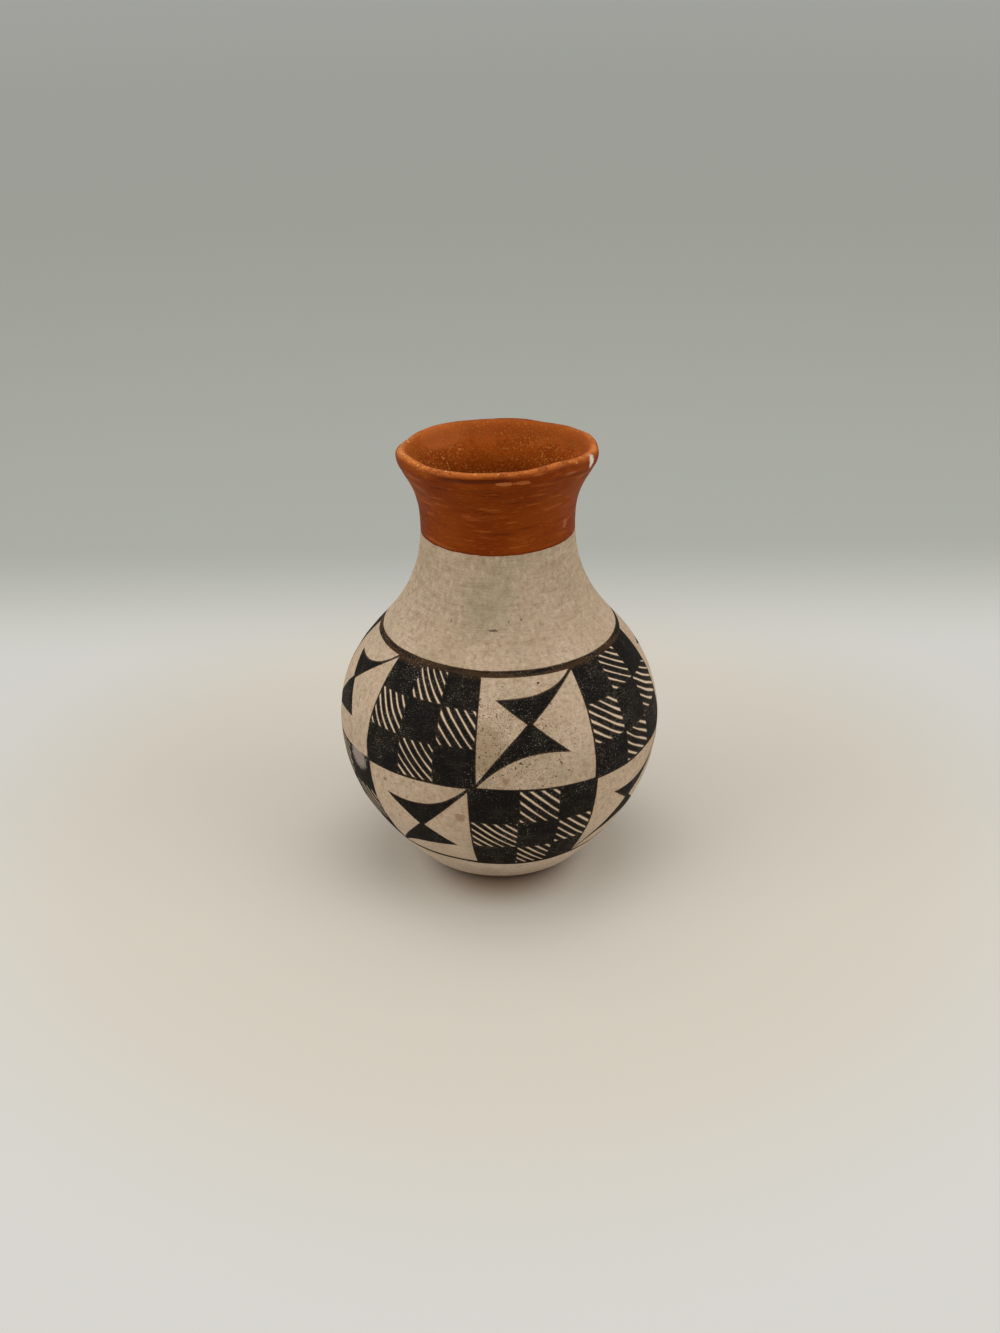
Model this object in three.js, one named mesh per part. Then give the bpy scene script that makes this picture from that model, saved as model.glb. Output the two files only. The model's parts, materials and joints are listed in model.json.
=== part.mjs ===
// A small pueblo pottery vase, built as its potter builds it: a base pressed from a pancake of
// clay, coils lapped one on another and scraped thin, and a lip rolled over at the top.
// Millimetres, +Z up. The origin is the centre of the foot's flat underside, and -Y is the front.
import * as THREE from "three";

// The foot: a flat disc to stand on, with a soft edge up into the wall.
const FOOT_REST_RADIUS = 21.2;
const FOOT_EDGE_RADIUS = 27.8;
const FOOT_EDGE_HEIGHT = 3.1;

// The height to the lip's crown, and the shares of it at which the outline turns.
const HEIGHT = 136.4;
const BELLY_SHARE = 0.3592;
const SHOULDER_SHARE = 0.5719;
const THROAT_SHARE = 0.8168;

// The outline's radii at its turning places, and at the lip, where its roll starts.
const BELLY_RADIUS = 50.2;
const SHOULDER_RADIUS = 36.9;
const THROAT_RADIUS = 23.5;
const LIP_RADIUS = 29;

// How far the wall leans out from vertical where the outline isn't upright, in degrees.
const FOOT_LEAN = 42;
const SHOULDER_LEAN = -35;
const LIP_LEAN = 22;

// How long the outline keeps its direction on either side of each turning place.
const FOOT_REACH = 15.5;
const BELLY_REACH_BELOW = 21.3;
const BELLY_REACH_ABOVE = 16.8;
const SHOULDER_REACH_BELOW = 2.8;
const SHOULDER_REACH_ABOVE = 3.4;
const THROAT_REACH_BELOW = 19.8;
const THROAT_REACH_ABOVE = 13.2;
const LIP_REACH = 4.1;

// The wall's thickness, scraped thinner towards the throat, and the floor's.
const FOOT_WALL = 5.4;
const BELLY_WALL = 4.8;
const SHOULDER_WALL = 4.3;
const THROAT_WALL = 3.8;
const LIP_WALL = 3.8;
const FLOOR_THICKNESS = 6;

// The base: how high its turned-up edge stands, and the flat of its dished floor.
const BASE_RISE = 11;
const FLOOR_RADIUS = 17;

// The lip's roll: how tall it is, how far below its crown it stands out most and by how much, how
// far inside the lip's radius the crown lies, and how softly it turns back inside.
const ROLL_RISE = 5.3;
const ROLL_BELOW_CROWN = 2;
const ROLL_OVERHANG = 1.2;
const CROWN_INSET = 0.7;
const CROWN_REACH = 1.6;

// The unevenness that the hand left around the lip: it rises to the right and more to the front,
// and a few low waves run around it.
const LIP_RISE_TO_RIGHT = 0.4;
const LIP_RISE_TO_FRONT = 1.75;
const LIP_WAVE = 0.3;
const LIP_WAVES_AROUND = 4;

// The joints: each coil is lapped down the inside of the course below it, over a rounded edge,
// and the fingers leave the wall a little thicker between two joints.
const JOINT_LAP = 5;
const JOINT_DOME = 1.6;
const COIL_SWELL = 0.4;

// The courses: how many coils each stretch of the wall has, how much wall the rim's coil makes,
// and where the cream slip ends and the orange slip starts.
const BOWL_COILS = 3;
const SHOULDER_COILS = 2;
const NECK_COILS = 3;
const RIM_COIL_LENGTH = 12;
const SLIP_LINE_BELOW_THROAT = 0.9;

// Facets: around the axis, and along each stretch of a course's outline.
const FACETS_AROUND = 48;
const OUTSIDE_STEPS = 3;
const INSIDE_STEPS = 4;
const JOINT_STEPS = 2;
const EDGE_STEPS = 4;
const ROLL_STEPS = 3;

// How closely a place on the wall is found for a height, in millimetres.
const PLACE_PRECISION = 1e-6;

const { degToRad, lerp, mapLinear, smoothstep } = THREE.MathUtils;

const creamSlip = new THREE.MeshStandardMaterial({ color: "#b9a184", roughness: 0.8, metalness: 0 });
const orangeSlip = new THREE.MeshStandardMaterial({ color: "#8c4517", roughness: 0.7, metalness: 0 });

// A point of the outline: its radius and its height.
function station(radius, height) {
  return new THREE.Vector2(radius, height);
}

// The direction of a wall that leans out from vertical by an angle in degrees.
function leaning(degrees) {
  const angle = degToRad(degrees);
  return new THREE.Vector2(Math.sin(angle), Math.cos(angle));
}

// One sweep of the outline: it leaves one station along its lean and meets the next along its own.
function sweep(from, fromLean, fromReach, to, toLean, toReach) {
  const leave = from.clone().addScaledVector(leaning(fromLean), fromReach);
  const meet = to.clone().addScaledVector(leaning(toLean), -toReach);
  return new THREE.CubicBezierCurve(from, leave, meet, to);
}

// The wall. Its outside sweeps through the stations, and its inside lies a thickness behind it.
// A place on the wall is its distance along the outside, up from the foot's edge.
class Wall {
  constructor() {
    this.foot = station(FOOT_EDGE_RADIUS, FOOT_EDGE_HEIGHT);
    this.belly = station(BELLY_RADIUS, HEIGHT * BELLY_SHARE);
    this.shoulder = station(SHOULDER_RADIUS, HEIGHT * SHOULDER_SHARE);
    this.throat = station(THROAT_RADIUS, HEIGHT * THROAT_SHARE);
    this.lip = station(LIP_RADIUS, HEIGHT - ROLL_RISE);
    this.path = new THREE.CurvePath();
    this.path.curves.push(
      sweep(this.foot, FOOT_LEAN, FOOT_REACH, this.belly, 0, BELLY_REACH_BELOW),
      sweep(this.belly, 0, BELLY_REACH_ABOVE, this.shoulder, SHOULDER_LEAN, SHOULDER_REACH_BELOW),
      sweep(this.shoulder, SHOULDER_LEAN, SHOULDER_REACH_ABOVE, this.throat, 0, THROAT_REACH_BELOW),
      sweep(this.throat, 0, THROAT_REACH_ABOVE, this.lip, LIP_LEAN, LIP_REACH),
    );
    [this.bellyAt, this.shoulderAt, this.throatAt, this.lipAt] = this.path.getCurveLengths();
    this.thicknesses = [
      [0, FOOT_WALL],
      [this.bellyAt, BELLY_WALL],
      [this.shoulderAt, SHOULDER_WALL],
      [this.throatAt, THROAT_WALL],
      [this.lipAt, LIP_WALL],
    ];
  }

  // The direction up the wall at a place.
  along(at) {
    return this.path.getTangent(at / this.lipAt);
  }

  outside(at) {
    return this.path.getPoint(at / this.lipAt);
  }

  // The wall's inside, square behind a place, with any swell on top of its thickness.
  inside(at, swell = 0) {
    const up = this.along(at);
    return this.outside(at).addScaledVector(station(-up.y, up.x), this.thickness(at) + swell);
  }

  // The thickness runs evenly from each station's to the next one's.
  thickness(at) {
    const next = Math.max(1, this.thicknesses.findIndex(([place]) => place >= at));
    const [from, thickness] = this.thicknesses[next - 1];
    const [to, nextThickness] = this.thicknesses[next];
    return mapLinear(at, from, to, thickness, nextThickness);
  }

  // The place where the outside passes a height, found by halving the wall again and again.
  atHeight(height) {
    let low = 0;
    let high = this.lipAt;
    while (high - low > PLACE_PRECISION) {
      const middle = (low + high) / 2;
      if (this.outside(middle).y < height) low = middle;
      else high = middle;
    }
    return low;
  }

  // The joint at a place, from the outside over a rounded edge to a lap lower down the inside.
  joint(at) {
    const outer = this.outside(at);
    const inner = this.inside(at - JOINT_LAP);
    const crest = outer.clone().lerp(inner, 0.5).addScaledVector(this.along(at), JOINT_DOME);
    return new THREE.QuadraticBezierCurve(outer, crest, inner).getPoints(JOINT_STEPS);
  }
}

const wall = new Wall();

// The outside of a course, from one place up to another.
function outsideOf(from, to) {
  return Array.from({ length: OUTSIDE_STEPS + 1 }, (_, step) =>
    wall.outside(lerp(from, to, step / OUTSIDE_STEPS)),
  );
}

// The inside of a course, from one place down to another, thickest halfway.
function insideOf(from, to) {
  return Array.from({ length: INSIDE_STEPS + 1 }, (_, step) => {
    const share = step / INSIDE_STEPS;
    return wall.inside(lerp(from, to, share), COIL_SWELL * Math.sin(Math.PI * share) ** 2);
  });
}

// A coil between two joints, its outline closed on itself.
function coilOutline(from, to) {
  return [
    ...outsideOf(from, to),
    ...wall.joint(to).slice(1),
    ...insideOf(to - JOINT_LAP, from - JOINT_LAP).slice(1),
    ...wall.joint(from).reverse().slice(1),
  ];
}

// The base: flat underside, soft edge, turned-up wall with its joint, and dished floor.
function baseOutline(to) {
  const joint = wall.joint(to);
  const innerEdge = joint.at(-1);
  const rest = station(FOOT_REST_RADIUS, 0);
  const floorEdge = station(FLOOR_RADIUS, FLOOR_THICKNESS);
  const underTurn = station((rest.x + wall.foot.x) / 2, 0);
  const dishTurn = station((floorEdge.x + innerEdge.x) / 2, FLOOR_THICKNESS);
  const edge = new THREE.QuadraticBezierCurve(rest, underTurn, wall.foot);
  const dish = new THREE.QuadraticBezierCurve(innerEdge, dishTurn, floorEdge);
  return [
    station(0, 0),
    ...edge.getPoints(EDGE_STEPS),
    ...outsideOf(0, to).slice(1),
    ...joint.slice(1),
    ...dish.getPoints(EDGE_STEPS).slice(1),
    station(0, FLOOR_THICKNESS),
  ];
}

// The rim: the last coil, flared, its end rolled outwards over a round crown.
function rimOutline(from) {
  const outerEnd = wall.outside(wall.lipAt);
  const innerEnd = wall.inside(wall.lipAt);
  const roll = station(LIP_RADIUS + ROLL_OVERHANG, HEIGHT - ROLL_BELOW_CROWN);
  const crown = station(LIP_RADIUS - CROWN_INSET, HEIGHT);
  const bulgeTurn = station(roll.x, (outerEnd.y + roll.y) / 2);
  const bulge = new THREE.QuadraticBezierCurve(outerEnd, bulgeTurn, roll);
  const over = new THREE.QuadraticBezierCurve(roll, station(roll.x, crown.y), crown);
  const returned = new THREE.CubicBezierCurve(
    crown,
    station(crown.x - CROWN_REACH, crown.y),
    innerEnd.clone().addScaledVector(leaning(LIP_LEAN), CROWN_REACH),
    innerEnd,
  );
  return [
    ...outsideOf(from, wall.lipAt),
    ...bulge.getPoints(ROLL_STEPS).slice(1),
    ...over.getPoints(ROLL_STEPS).slice(1),
    ...returned.getPoints(ROLL_STEPS).slice(1),
    ...insideOf(wall.lipAt, from - JOINT_LAP).slice(1),
    ...wall.joint(from).reverse().slice(1),
  ];
}

// A course: its outline turned about the vertical axis.
function course(name, outline, material) {
  const geometry = new THREE.LatheGeometry(outline, FACETS_AROUND);
  geometry.rotateX(Math.PI / 2);
  const mesh = new THREE.Mesh(geometry, material.clone());
  mesh.name = name;
  return mesh;
}

// The coils that share a stretch of the wall evenly, numbered from the lowest up.
function coils(name, count, from, to, material) {
  return Array.from({ length: count }, (_, i) => {
    const outline = coilOutline(lerp(from, to, i / count), lerp(from, to, (i + 1) / count));
    return course(`${name}_${i + 1}`, outline, material);
  });
}

// Lifts the lip where the hand left it high, fading to nothing at the joint below it.
function unevenLip(rim, outline, from) {
  const level = Math.max(...wall.joint(from).map((point) => point.y));
  const top = Math.max(...outline.map((point) => point.y));
  const places = rim.geometry.attributes.position;
  const point = new THREE.Vector3();
  for (let i = 0; i < places.count; i += 1) {
    point.fromBufferAttribute(places, i);
    const slope = (LIP_RISE_TO_RIGHT * point.x - LIP_RISE_TO_FRONT * point.y) / LIP_RADIUS;
    const wave = LIP_WAVE * Math.sin(LIP_WAVES_AROUND * Math.atan2(point.x, -point.y));
    places.setZ(i, point.z + (slope + wave) * smoothstep(point.z, level, top));
  }
  rim.geometry.computeVertexNormals();
}

const baseTop = wall.atHeight(BASE_RISE);
const slipLine = wall.atHeight(wall.throat.y - SLIP_LINE_BELOW_THROAT);
const rimJoint = wall.lipAt - RIM_COIL_LENGTH;

const rimTurned = rimOutline(rimJoint);
const rimCoil = course("rim_coil", rimTurned, orangeSlip);
unevenLip(rimCoil, rimTurned, rimJoint);

const vase = new THREE.Group();
vase.add(
  course("base_pancake", baseOutline(baseTop), creamSlip),
  ...coils("bowl_coil", BOWL_COILS, baseTop, wall.bellyAt, creamSlip),
  ...coils("shoulder_coil", SHOULDER_COILS, wall.bellyAt, wall.shoulderAt, creamSlip),
  ...coils("neck_coil", NECK_COILS, wall.shoulderAt, slipLine, creamSlip),
  course("throat_coil", coilOutline(slipLine, rimJoint), orangeSlip),
  rimCoil,
);

export default vase;
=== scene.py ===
"""A small pueblo pottery vase: its hand-built courses, their slips and painted band, and a studio.

The vase stands at the origin on the floor, +Z up, with its photographed side towards -Y. Its sizes
are in millimetres, as on the CAD part, and its meshes are made in metres. An angle on the wall is
counted in degrees from the front towards the right, and a place on the wall is the distance up its
outside from the foot's edge.
"""

import json
import logging
import math
from collections.abc import Callable, Sequence
from dataclasses import dataclass, field
from enum import Enum
from functools import cache, reduce
from typing import ClassVar

import bpy
import numpy as np
from mathutils import Matrix, Vector

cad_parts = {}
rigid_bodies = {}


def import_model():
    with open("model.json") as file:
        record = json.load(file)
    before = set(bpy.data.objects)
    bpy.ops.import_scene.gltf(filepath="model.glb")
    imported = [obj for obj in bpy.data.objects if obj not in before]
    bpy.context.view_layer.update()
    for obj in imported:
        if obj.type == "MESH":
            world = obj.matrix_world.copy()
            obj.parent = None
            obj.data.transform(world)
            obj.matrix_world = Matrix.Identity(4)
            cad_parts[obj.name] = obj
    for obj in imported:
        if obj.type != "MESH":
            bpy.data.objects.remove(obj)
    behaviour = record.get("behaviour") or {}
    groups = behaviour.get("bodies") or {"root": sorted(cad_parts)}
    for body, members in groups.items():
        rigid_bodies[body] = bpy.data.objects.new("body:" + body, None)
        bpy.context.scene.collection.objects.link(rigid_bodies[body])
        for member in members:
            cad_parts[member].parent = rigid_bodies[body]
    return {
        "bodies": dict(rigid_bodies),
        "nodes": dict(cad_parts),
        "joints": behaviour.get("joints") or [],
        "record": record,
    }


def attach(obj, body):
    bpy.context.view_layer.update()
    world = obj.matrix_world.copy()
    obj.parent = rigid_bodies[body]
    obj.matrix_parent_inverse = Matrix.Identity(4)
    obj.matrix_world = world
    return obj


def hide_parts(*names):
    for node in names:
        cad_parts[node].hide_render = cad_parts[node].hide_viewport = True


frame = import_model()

log = logging.getLogger("vase")

MM = 0.001
BODY = "root"
PHOTO_LONG_SIDE = 1333
UPPER_TIER = 10
PLACE_ATTRIBUTE = "wall_place"
BAKE_MAP = "OFBake"

SRGB_TOE = 0.04045
SRGB_TOE_SLOPE = 12.92
SRGB_LIFT = 0.055
SRGB_POWER = 2.4

Pair = tuple[np.ndarray, np.ndarray]
Curve = Callable[[np.ndarray], Pair]
Triple = tuple[float, float, float]


class Slot(Enum):
    """The record's material slots."""

    CREAM = "cream_slip"
    ORANGE = "orange_slip"


class Side(Enum):
    """The sides of a course, by the index of the material that each one takes."""

    OUTER = 0
    INNER = 1


# The form


@dataclass(frozen=True)
class WallSizes:
    """The outline's driving sizes in millimetres and degrees, the same as the CAD part's."""

    height: float = 136.4
    foot_rest_radius: float = 21.2
    foot_edge_radius: float = 27.8
    foot_edge_height: float = 3.1
    belly_share: float = 0.3592
    belly_radius: float = 50.2
    shoulder_share: float = 0.5719
    shoulder_radius: float = 36.9
    throat_share: float = 0.8168
    throat_radius: float = 23.5
    lip_radius: float = 29
    foot_lean: float = 42
    shoulder_lean: float = -35
    lip_lean: float = 22
    foot_reach: float = 15.5
    belly_reach_below: float = 21.3
    belly_reach_above: float = 16.8
    shoulder_reach_below: float = 2.8
    shoulder_reach_above: float = 3.4
    throat_reach_below: float = 19.8
    throat_reach_above: float = 13.2
    lip_reach: float = 4.1
    foot_wall: float = 5.4
    belly_wall: float = 4.8
    shoulder_wall: float = 4.3
    throat_wall: float = 3.8
    lip_wall: float = 3.8
    floor_thickness: float = 6
    floor_radius: float = 17
    joint_lap: float = 5
    joint_dome: float = 1.6
    coil_swell: float = 0.4
    roll_rise: float = 5.3
    roll_below_crown: float = 2
    roll_overhang: float = 1.2
    crown_inset: float = 0.7
    crown_reach: float = 1.6


def leaning(degrees: float) -> np.ndarray:
    """Gives the direction of a wall that leans out by some degrees, as radius and height."""
    angle = math.radians(degrees)
    return np.array([math.sin(angle), math.cos(angle)])


def bend(*stations: Sequence[float]) -> Curve:
    """Makes a Bezier curve of any degree through its first and last station.

    Args:
        stations: Its control points, as radius and height.

    Returns:
        The curve, from shares of the way along it to radii and heights.
    """
    points = np.array(stations, float)
    degree = len(points) - 1

    def curve(shares: np.ndarray) -> Pair:
        """Weighs the control points at each share.

        Args:
            shares: Shares of the way along the curve.

        Returns:
            The radii and heights there.
        """
        weights = [
            math.comb(degree, i) * shares**i * (1 - shares) ** (degree - i)
            for i in range(degree + 1)
        ]
        radii, heights = points.T @ np.array(weights)
        return radii, heights

    return curve


class Wall:
    """The vase's wall: its outside sweeps through stations, and its inside lies behind it.

    Places are counted on over the lip, in millimetres: the crown's is CROWN_PAST_LIP past the lip's
    own, and the inside's start INSIDE_PAST_LIP past it.
    """

    SAMPLES = 600
    CROWN_PAST_LIP = 6
    INSIDE_PAST_LIP = 10

    def __init__(self, sizes: WallSizes) -> None:
        """Samples the outside once, so that a place on it can be looked up.

        Args:
            sizes: The outline's sizes.
        """
        self.sizes = s = sizes
        foot = np.array([s.foot_edge_radius, s.foot_edge_height])
        belly = np.array([s.belly_radius, s.height * s.belly_share])
        shoulder = np.array([s.shoulder_radius, s.height * s.shoulder_share])
        throat = np.array([s.throat_radius, s.height * s.throat_share])
        self.lip = np.array([s.lip_radius, s.height - s.roll_rise])
        sweeps = [
            (foot, s.foot_lean, s.foot_reach, belly, 0, s.belly_reach_below),
            (belly, 0, s.belly_reach_above, shoulder, s.shoulder_lean, s.shoulder_reach_below),
            (shoulder, s.shoulder_lean, s.shoulder_reach_above, throat, 0, s.throat_reach_below),
            (throat, 0, s.throat_reach_above, self.lip, s.lip_lean, s.lip_reach),
        ]
        shares = np.linspace(0, 1, self.SAMPLES)
        radii, heights, ends = [foot[:1]], [foot[1:]], []
        for start, start_lean, start_reach, end, end_lean, end_reach in sweeps:
            leave = start + leaning(start_lean) * start_reach
            meet = end - leaning(end_lean) * end_reach
            sweep_radii, sweep_heights = bend(start, leave, meet, end)(shares)
            radii.append(sweep_radii[1:])
            heights.append(sweep_heights[1:])
            ends.append((len(ends) + 1) * (self.SAMPLES - 1))
        self.radii = np.concatenate(radii)
        self.heights = np.concatenate(heights)
        steps = np.hypot(np.diff(self.radii), np.diff(self.heights))
        self.places = np.concatenate([[0], np.cumsum(steps)])
        self.belly_at, self.shoulder_at, self.throat_at, self.lip_at = self.places[ends]
        self.lean_radii = np.gradient(self.radii, self.places)
        self.lean_heights = np.gradient(self.heights, self.places)

    def outside(self, places: np.ndarray) -> Pair:
        """Finds the outside at places on the wall.

        Args:
            places: The places, in millimetres.

        Returns:
            The radii and heights there.
        """
        radii = np.interp(places, self.places, self.radii)
        heights = np.interp(places, self.places, self.heights)
        return radii, heights

    def inside(self, places: np.ndarray, swell: np.ndarray | float = 0) -> Pair:
        """Finds the inside, square behind places on the wall.

        Args:
            places: The places, in millimetres.
            swell: What the fingers left on top of the wall's thickness.

        Returns:
            The radii and heights there.
        """
        s = self.sizes
        stations = [0, self.belly_at, self.shoulder_at, self.throat_at, self.lip_at]
        walls = [s.foot_wall, s.belly_wall, s.shoulder_wall, s.throat_wall, s.lip_wall]
        depth = np.interp(places, stations, walls) + swell
        radii, heights = self.outside(places)
        out = np.interp(places, self.places, self.lean_radii)
        up = np.interp(places, self.places, self.lean_heights)
        return radii - up * depth, heights + out * depth

    def place_inside(self, place: float) -> float:
        """Finds the place that the inside behind a place is marked with, counted over the lip."""
        return 2 * self.lip_at + self.INSIDE_PAST_LIP - place

    def at_height(self, height: float) -> float:
        """Finds the place where the outside passes a height in millimetres."""
        return float(np.interp(height, self.heights, self.places))

    def outside_curve(self, start: float, end: float) -> Curve:
        """Makes the outside between two places a curve."""
        return lambda shares: self.outside(start + (end - start) * shares)

    def inside_curve(self, start: float, end: float) -> Curve:
        """Makes the inside between two places a curve, thickest halfway.

        Args:
            start: The place that it starts from.
            end: The place that it runs to.

        Returns:
            The curve.
        """

        def curve(shares: np.ndarray) -> Pair:
            """Finds the swollen inside at shares of the way."""
            swell = self.sizes.coil_swell * np.sin(math.pi * shares) ** 2
            return self.inside(start + (end - start) * shares, swell)

        return curve

    def joint(self, place: float, inwards: bool) -> Curve:
        """Makes the joint at a place, over a rounded edge to a lap lower down the inside.

        Args:
            place: Where the joint shows on the outside.
            inwards: Whether the curve runs inwards, as on top of a course.

        Returns:
            The curve.
        """
        s = self.sizes
        outer = np.array(self.outside(place))
        inner = np.array(self.inside(place - s.joint_lap))
        out = np.interp(place, self.places, self.lean_radii)
        up = np.interp(place, self.places, self.lean_heights)
        crest = (outer + inner) / 2 + np.array([out, up]) * s.joint_dome
        return bend(outer, crest, inner) if inwards else bend(inner, crest, outer)


@dataclass(frozen=True)
class Wave:
    """A wave around the vase.

    Attributes:
        around: How many times it goes up and down on the way round.
        height: How far it rises, in the unit of what it changes.
        peak: The angle of one of its peaks.
    """

    around: int
    height: float
    peak: float

    def at(self, angles: np.ndarray) -> np.ndarray:
        """Finds how far the wave rises at angles in radians."""
        return self.height * np.cos(self.around * (angles - math.radians(self.peak)))


@dataclass(frozen=True)
class Dent:
    """A small hollow or bump that a finger or a knock left.

    Attributes:
        angle: Its angle on the wall.
        height: Its height.
        across: Its half width around the wall.
        tall: Its half height.
        depth: How deep it is, or how proud if it is negative.
    """

    angle: float
    height: float
    across: float
    tall: float
    depth: float

    def at(self, radii: np.ndarray, heights: np.ndarray, angles: np.ndarray) -> np.ndarray:
        """Finds how far the dent pushes the wall inwards.

        Args:
            radii: Radii of the points.
            heights: Their heights.
            angles: Their angles in radians.

        Returns:
            The push at each of them.
        """
        turn = (angles - math.radians(self.angle) + math.pi) % math.tau - math.pi
        sideways = turn * radii / self.across
        upwards = (heights - self.height) / self.tall
        return self.depth * np.exp(-(sideways**2) - upwards**2)


@dataclass(frozen=True)
class Hand:
    """What the hand left uneven: the whole pot is a turned form that this bends a little.

    The waves of the roundness and the ripples are shares of the radius, and the rest is in
    millimetres.
    """

    crown_height: float = WallSizes.height
    lip_from: float = 120.5
    sway: Wave = Wave(1, 0.28, 90)
    sway_from: float = 50
    sway_full: float = 90
    lift: tuple[Wave, ...] = (
        Wave(1, 1.81, 12),
        Wave(2, 0.14, 22),
        Wave(3, 0.21, 50),
        Wave(4, 0.32, 28),
        Wave(6, 0.25, -14),
        Wave(11, 0.07, 3),
    )
    spread: tuple[Wave, ...] = (
        Wave(1, 0.1, 90),
        Wave(2, 0.18, 78),
        Wave(9, 0.07, 17),
        Wave(14, 0.06, 5),
        Wave(23, 0.04, 2),
    )
    roundness: tuple[Wave, ...] = (
        Wave(2, 0.0012, 35),
        Wave(3, 0.0009, 80),
        Wave(5, 0.0006, 10),
    )
    settle_height: float = 4
    ripples: int = 9
    ripple_share: float = 0.0011
    ripple_around: int = 5
    ripple_rise: float = 0.11
    ripple_turn: float = 2.4
    dents: tuple[Dent, ...] = (
        Dent(68, 134.6, 1.1, 1.6, 0.5),
        Dent(46, 134.6, 1.2, 0.9, 0.3),
        Dent(-27, 134.5, 4, 0.5, 0.3),
        Dent(-14, 134.6, 5, 0.5, 0.42),
        Dent(-2, 134.3, 4, 0.55, 0.45),
        Dent(14, 133.9, 6, 0.6, 0.2),
        Dent(38, 134.2, 7, 0.7, 0.18),
        Dent(-44, 133.6, 6, 0.8, -0.2),
        Dent(20, 135.4, 5, 0.9, -0.15),
        Dent(-150, 60, 14, 10, 0.3),
        Dent(118, 40, 12, 9, 0.25),
        Dent(85, 60, 25, 13, 0.75),
        Dent(-85, 32, 25, 9, -0.3),
    )

    def eased(self, heights: np.ndarray, low: float, high: float) -> np.ndarray:
        """Turns heights into a share that comes in softly from 0 at one height to 1 at another."""
        share = np.clip((heights - low) / (high - low), 0, 1)
        return share * share * (3 - 2 * share)

    def shape(self, radii: np.ndarray, heights: np.ndarray, angles: np.ndarray) -> np.ndarray:
        """Bends points of the turned form to where the hand left them.

        Args:
            radii: Their radii in millimetres.
            heights: Their heights in millimetres.
            angles: Their angles in radians.

        Returns:
            Their positions in metres, on a last axis of three.
        """
        lip = self.eased(heights, self.lip_from, self.crown_height)
        share = sum(wave.at(angles) for wave in self.roundness)
        for i in range(self.ripples):
            slant = self.ripple_rise * (i + 1) * (-1) ** i
            phase = self.ripple_turn * i
            ripple = np.sin((self.ripple_around + 2 * i) * angles + slant * heights + phase)
            share = share + ripple * self.ripple_share / math.sqrt(i + 1)
        push = sum(dent.at(radii, heights, angles) for dent in self.dents)
        settled = np.clip(heights / self.settle_height, 0, 1)
        out = radii * (1 + share * settled) - push
        out = out + self.eased(heights, self.sway_from, self.sway_full) * self.sway.at(angles)
        out = out + lip * sum(wave.at(angles) for wave in self.spread)
        up = heights + lip * sum(wave.at(angles) for wave in self.lift)
        return np.stack([out * np.sin(angles), -out * np.cos(angles), up], axis=-1) * MM


@dataclass(frozen=True)
class Stretch:
    """One stretch of a course's outline.

    Attributes:
        side: The side that it is on.
        curve: Its curve, from shares of the way along it.
        steps: How many rows of faces it gets.
        start: The wall's place at its start.
        end: The wall's place at its end.
    """

    side: Side
    curve: Curve
    steps: int
    start: float
    end: float

    SHARE_STEP = 1e-3

    def rings(self) -> tuple[Pair, Pair]:
        """Works the stretch out.

        Returns:
            Its radii and heights, and the way that it runs at each of them.
        """
        shares = np.linspace(0, 1, self.steps + 1)
        before = self.curve(np.clip(shares - self.SHARE_STEP, 0, 1))
        after = self.curve(np.clip(shares + self.SHARE_STEP, 0, 1))
        out, up = after[0] - before[0], after[1] - before[1]
        length = np.hypot(out, up)
        return self.curve(shares), (out / length, up / length)

    def length(self) -> float:
        """Measures the stretch in millimetres."""
        radii, heights = self.curve(np.linspace(0, 1, self.steps + 1))
        return float(np.hypot(np.diff(radii), np.diff(heights)).sum())


@dataclass(frozen=True)
class Ring:
    """A ring of a mesh's vertices, or the single one that closes the mesh on the axis.

    Attributes:
        first: Its first vertex.
        on_axis: Whether it is that single one.
    """

    first: int
    on_axis: bool


@dataclass
class Clay:
    """A mesh that is worked out ring by ring and face by face.

    Attributes:
        points: Its vertices.
        places: The wall's place at each vertex.
        rings: Its rings, in order along the outline.
        faces: Its faces.
        normals: A normal for each corner of each face.
        maps: A place in the baking map for each corner.
        sides: The material index of each face.
    """

    points: list[tuple[float, ...]] = field(default_factory=list)
    places: list[float] = field(default_factory=list)
    rings: list[Ring] = field(default_factory=list)
    faces: list[list[int]] = field(default_factory=list)
    normals: list[np.ndarray] = field(default_factory=list)
    maps: list[tuple[float, float]] = field(default_factory=list)
    sides: list[int] = field(default_factory=list)


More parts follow.
